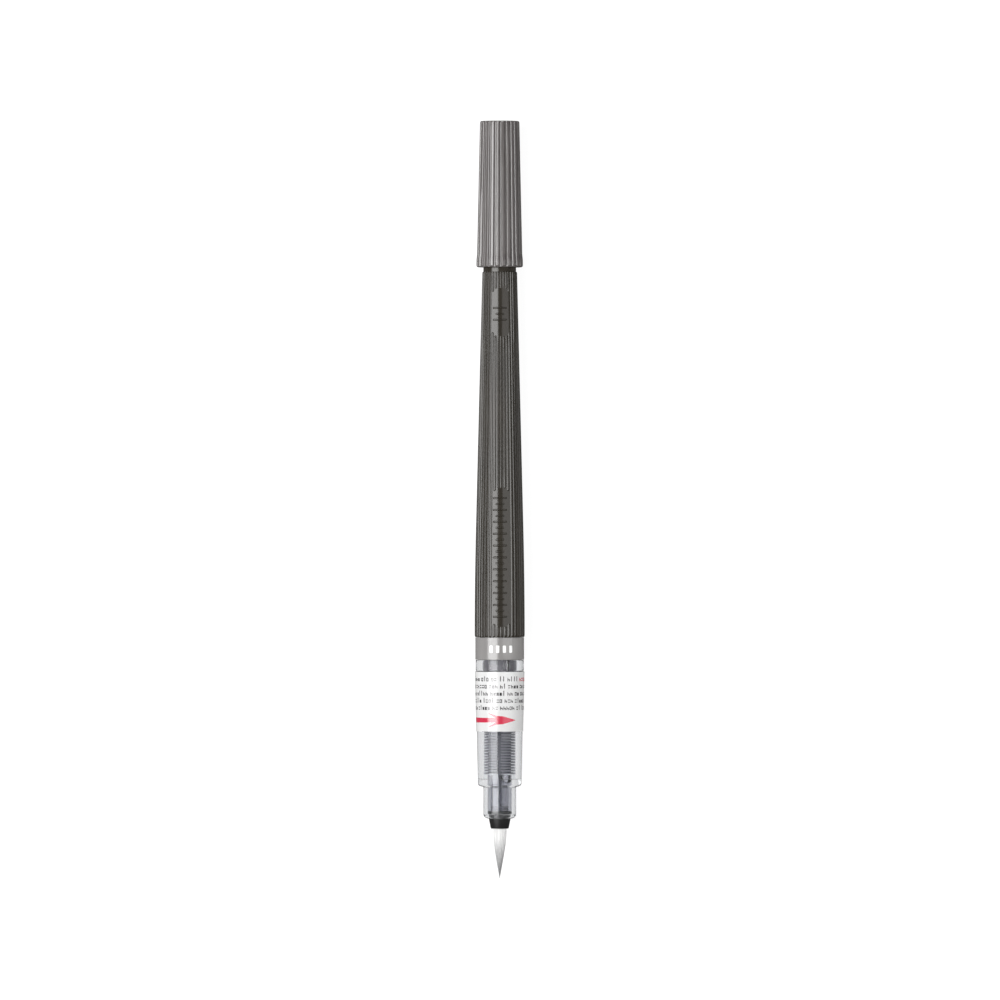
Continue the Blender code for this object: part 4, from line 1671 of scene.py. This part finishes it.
@dataclass
class BrushTip(SubAssembly):
    """The bristles, the black ferrule that grips them and the frosted holder behind it."""

    body: ClassVar[Body] = Body.BRUSH_HEAD
    strands: int = 620
    strand_radius: float = 0.055 * MM
    strand_sides: int = 4
    strand_parts: int = 14
    root_depth: float = 0.8 * MM
    cone_share: float = 0.80
    cone_blend: float = 8.0
    spread: float = 0.10 * MM
    wave: float = 0.04
    wave_span: float = 5.0
    shortest_share: float = 0.42
    shortening: float = 1.5
    taper: float = 0.8
    core_share: float = 0.97
    core_parts: int = 26
    core_front: float = 0.05 * MM
    core_point: float = 0.04 * MM
    core_steps: int = 96
    ferrule_front_radius: float = 2.33 * MM
    ferrule_rear_radius: float = 2.83 * MM
    ferrule_bore: float = 1.88 * MM
    flange_thickness: float = 0.7 * MM
    seed: int = 5

    def __post_init__(self) -> None:
        """Reads the places of the tuft and the ferrule from the frame."""
        self.tuft = self.axis.extent("brush_tuft")
        self.ferrule = self.axis.extent("ferrule")
        self.nose_front = self.axis.extent("front_housing").front

    def tuft_share(self, station: float) -> float:
        """Works out the tuft's outline: a straight cone that rounds over into the root.

        Args:
            station: Distance behind the brush tip.

        Returns:
            The outline's share of the full radius.
        """
        rise = max(station, 0.0) / (self.cone_share * self.ferrule.front)
        return rise / (1.0 + rise ** self.cone_blend) ** (1.0 / self.cone_blend)

    def strand_path(self, share: float, angle: float, end: float, chance: random.Random) -> list[Vector]:
        """Route of one bristle from the ferrule to its end.

        Args:
            share: Place of the bristle between the tuft's axis and its rim.
            angle: Angle of the bristle round the axis.
            end: Station of its end.
            chance: Source of its small waves.

        Returns:
            The points of its centre line.
        """
        root = self.ferrule.front + self.root_depth
        room = self.tuft.radius + self.spread - self.strand_radius
        wave, phase = chance.uniform(-self.wave, self.wave), chance.uniform(0.0, FULL_TURN)
        path = []
        for part in range(self.strand_parts + 1):
            done = part / self.strand_parts
            station = between(root, end, done)
            loose = 1.0 + wave * math.sin(phase + self.wave_span * done)
            radius = room * self.tuft_share(station) * min(share * loose, 1.0)
            path.append(self.axis.point(station, radius, angle + wave * done))
        return path

    def build_tuft(self) -> bpy.types.Mesh:
        """Makes the bristles one by one, packed evenly in the ferrule.

        Returns:
            The bristles' mesh.
        """
        chance = random.Random(self.seed)
        golden = math.pi * (3.0 - math.sqrt(5.0))
        points: list[Vector] = []
        faces: list[list[int]] = []
        for strand in range(self.strands):
            share = math.sqrt((strand + 0.5) / self.strands)
            end = self.ferrule.front * self.shortest_share * share ** 2 * chance.random() ** self.shortening
            path = self.strand_path(share, strand * golden, end, chance)
            start = len(points)
            for part, centre in enumerate(path):
                radius = self.strand_radius * (1.0 - self.taper * (part / self.strand_parts) ** 2)
                for side in range(self.strand_sides):
                    turned_by = FULL_TURN * side / self.strand_sides
                    spoke = Vector((math.sin(turned_by), 0.0, math.cos(turned_by)))
                    points.append(centre + spoke * radius)
            faces += grid_faces(start, self.strand_parts + 1, self.strand_sides, round_columns=True)
            last = start + self.strand_parts * self.strand_sides
            faces.append([last + side for side in range(self.strand_sides)])
        return make_mesh("bristles", points, faces)

    def build_core(self) -> bpy.types.Mesh:
        """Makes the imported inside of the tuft, which closes the gaps between the bristles.

        Returns:
            The core's mesh.
        """
        rings = []
        for part in range(self.core_parts + 1):
            station = between(self.tuft.rear, self.core_front, part / self.core_parts)
            radius = self.core_share * self.tuft.radius * self.tuft_share(station)
            rings.append(Ring(station, max(radius, self.core_point)))
        return ring_mesh("bristle_core", self.axis, rings, self.core_steps, closed=False)

    def build_ferrule(self) -> bpy.types.Mesh:
        """Makes the black ferrule.

        Returns:
            The ferrule's mesh.
        """
        reach = self.ferrule
        flange = reach.rear - self.flange_thickness
        rings = filleted([
            Corner(reach.radius, reach.rear, 0.05 * MM),
            Corner(reach.radius, flange, 0.05 * MM),
            Corner(self.ferrule_rear_radius, flange, 0.03 * MM),
            Corner(self.ferrule_rear_radius, self.nose_front),
            Corner(self.ferrule_front_radius, reach.front, 0.14 * MM),
            Corner(self.ferrule_bore, reach.front, 0.10 * MM),
            Corner(self.ferrule_bore, reach.rear),
        ])
        return ring_mesh("ferrule_cone", self.axis, rings)

    def build(self) -> None:
        """Makes the bristles and the ferrule and dresses what holds them."""
        nylon = Bristles(self.axis.tip, self.ferrule.front).material()
        self.add(self.build_tuft(), nylon, Slot.BRISTLES, "brush_tuft")
        self.add(self.build_core(), nylon, Slot.BRISTLES, "brush_tuft")
        self.add(self.build_ferrule(), self.finishes.ferrule.material(), Slot.FERRULE, "ferrule")
        self.dress("tuft_root", self.finishes.root.material())
        self.dress("brush_holder", self.finishes.frosted.material())


@dataclass
class SealBall(SubAssembly):
    """The steel ball that closes a new cartridge."""

    body: ClassVar[Body] = Body.SEAL_BALL

    def build(self) -> None:
        """Dresses the ball."""
        self.dress("seal_ball", self.finishes.steel.material())


# ---------------------------------------------------------------- studio
@dataclass(frozen=True)
class SoftBox:
    """A soft box over the pen, given by the angles round the pen's axis between which it lies.

    `raised_to_cap` swings it toward the cap's end.
    """

    name: str
    near: float
    far: float
    radiance: float
    length: float
    distance: float = 0.65
    raised_to_cap: float = 0.0
    lights_skins: bool = True
    shows_in_gloss: bool = True

    def hang(self, target: Vector) -> bpy.types.Object:
        """Hangs the lamp.

        Args:
            target: Where it points.

        Returns:
            The lamp.
        """
        middle, half = (self.near + self.far) / 2, abs(self.far - self.near) / 2
        width = 2 * self.distance * math.tan(half)
        lamp = bpy.data.lights.new(self.name, "AREA")
        lamp.shape = "RECTANGLE"
        lamp.size = width
        lamp.size_y = self.length
        lamp.energy = self.radiance * math.pi * width * self.length
        box = put_in_scene(self.name, lamp)
        level = math.cos(self.raised_to_cap)
        toward = Vector((math.sin(middle) * level, math.sin(self.raised_to_cap), math.cos(middle) * level))
        box.location = target + self.distance * toward
        box.rotation_euler = toward.to_track_quat("Z", "Y").to_euler()
        box.visible_camera = False
        box.visible_diffuse = self.lights_skins
        box.visible_glossy = self.shows_in_gloss
        box.visible_transmission = self.shows_in_gloss
        return box


@dataclass
class Studio:
    """White sweep, four soft boxes, a soft surround and a camera straight above the pen."""

    axis: PenAxis
    floor_size: float = 6.0
    floor_gap: float = 0.02 * MM
    surround: float = 0.14
    seen_through: float = 0.68
    sensor: float = 36.0
    lens: float = 400.0
    clip: Span = (0.01, 20.0)
    view_width: float = 260.0 * MM
    camera_place: Span = (0.08 * MM, -0.05 * MM)
    boxes: tuple[SoftBox, ...] = (
        SoftBox("key_box", math.radians(-58.0), math.radians(-10.0), 6.0, 0.55),
        SoftBox("side_box", math.radians(28.0), math.radians(48.0), 1.45, 0.55, lights_skins=False),
        SoftBox("fill_box", math.radians(62.0), math.radians(89.0), 5.4, 0.55, shows_in_gloss=False),
        SoftBox(
            "end_box", math.radians(-45.0), math.radians(15.0), 4.0, 0.50,
            raised_to_cap=math.radians(52.0), lights_skins=False),
    )

    def lay_floor(self) -> None:
        """Lays the sweep that the pen rests on."""
        half = self.floor_size / 2
        corners = [Vector((x, y, CAD_LOW.z - self.floor_gap)) for x, y in (
            (-half, -half), (half, -half), (half, half), (-half, half))]
        mesh = bpy.data.meshes.new("studio_floor")
        mesh.from_pydata(corners, [], [(0, 1, 2, 3)])
        mesh.materials.append(StudioSweep().material())
        put_in_scene("studio_floor", mesh)

    def set_surround(self) -> None:
        """Fills the room with an even white light, dimmed in reflections and through clear plastic."""
        world = bpy.data.worlds.new("studio_room")
        world.use_nodes = True
        nodes, links = world.node_tree.nodes, world.node_tree.links
        background = nodes["Background"]
        background.inputs["Color"].default_value = (1.0, 1.0, 1.0, 1.0)
        path = nodes.new("ShaderNodeLightPath")
        through = nodes.new("ShaderNodeMapRange")
        through.inputs["To Min"].default_value = self.surround
        through.inputs["To Max"].default_value = self.seen_through
        links.new(path.outputs["Is Transmission Ray"], through.inputs["Value"])
        strength = nodes.new("ShaderNodeMapRange")
        strength.inputs["To Max"].default_value = 1.0
        links.new(path.outputs["Is Camera Ray"], strength.inputs["Value"])
        links.new(through.outputs["Result"], strength.inputs["To Min"])
        links.new(strength.outputs["Result"], background.inputs["Strength"])
        bpy.context.scene.world = world

    def set_camera(self) -> None:
        """Puts the camera above the pen, its view's top toward the cap."""
        lens = bpy.data.cameras.new("camera")
        lens.sensor_width = self.sensor
        lens.lens = self.lens
        lens.clip_start, lens.clip_end = self.clip
        camera = put_in_scene("camera", lens)
        distance = self.view_width * self.lens / self.sensor
        camera.location = (*self.camera_place, self.axis.height + distance)
        bpy.context.scene.camera = camera

    def build(self) -> None:
        """Sets up the studio."""
        self.lay_floor()
        self.set_surround()
        for box in self.boxes:
            box.hang(Vector((0.0, 0.0, self.axis.height)))
        self.set_camera()
        bpy.context.scene.view_settings.view_transform = "Standard"
        LOG.info("studio ready")


def main() -> None:
    """Builds the studio and the pen, piece by piece."""
    logging.basicConfig(level=logging.INFO, format="%(name)s: %(message)s")
    axis = PenAxis.from_frame()
    finishes = Finishes()
    Studio(axis).build()
    for kind in (BrushTip, InkFeed, FrontHousing, StopRing, ColorRing, SqueezeBarrel, SealBall, Cap):
        assembly = kind(axis, finishes)
        assembly.build()
        LOG.info("%s ready", kind.__name__)


if __name__ == "__main__":
    main()
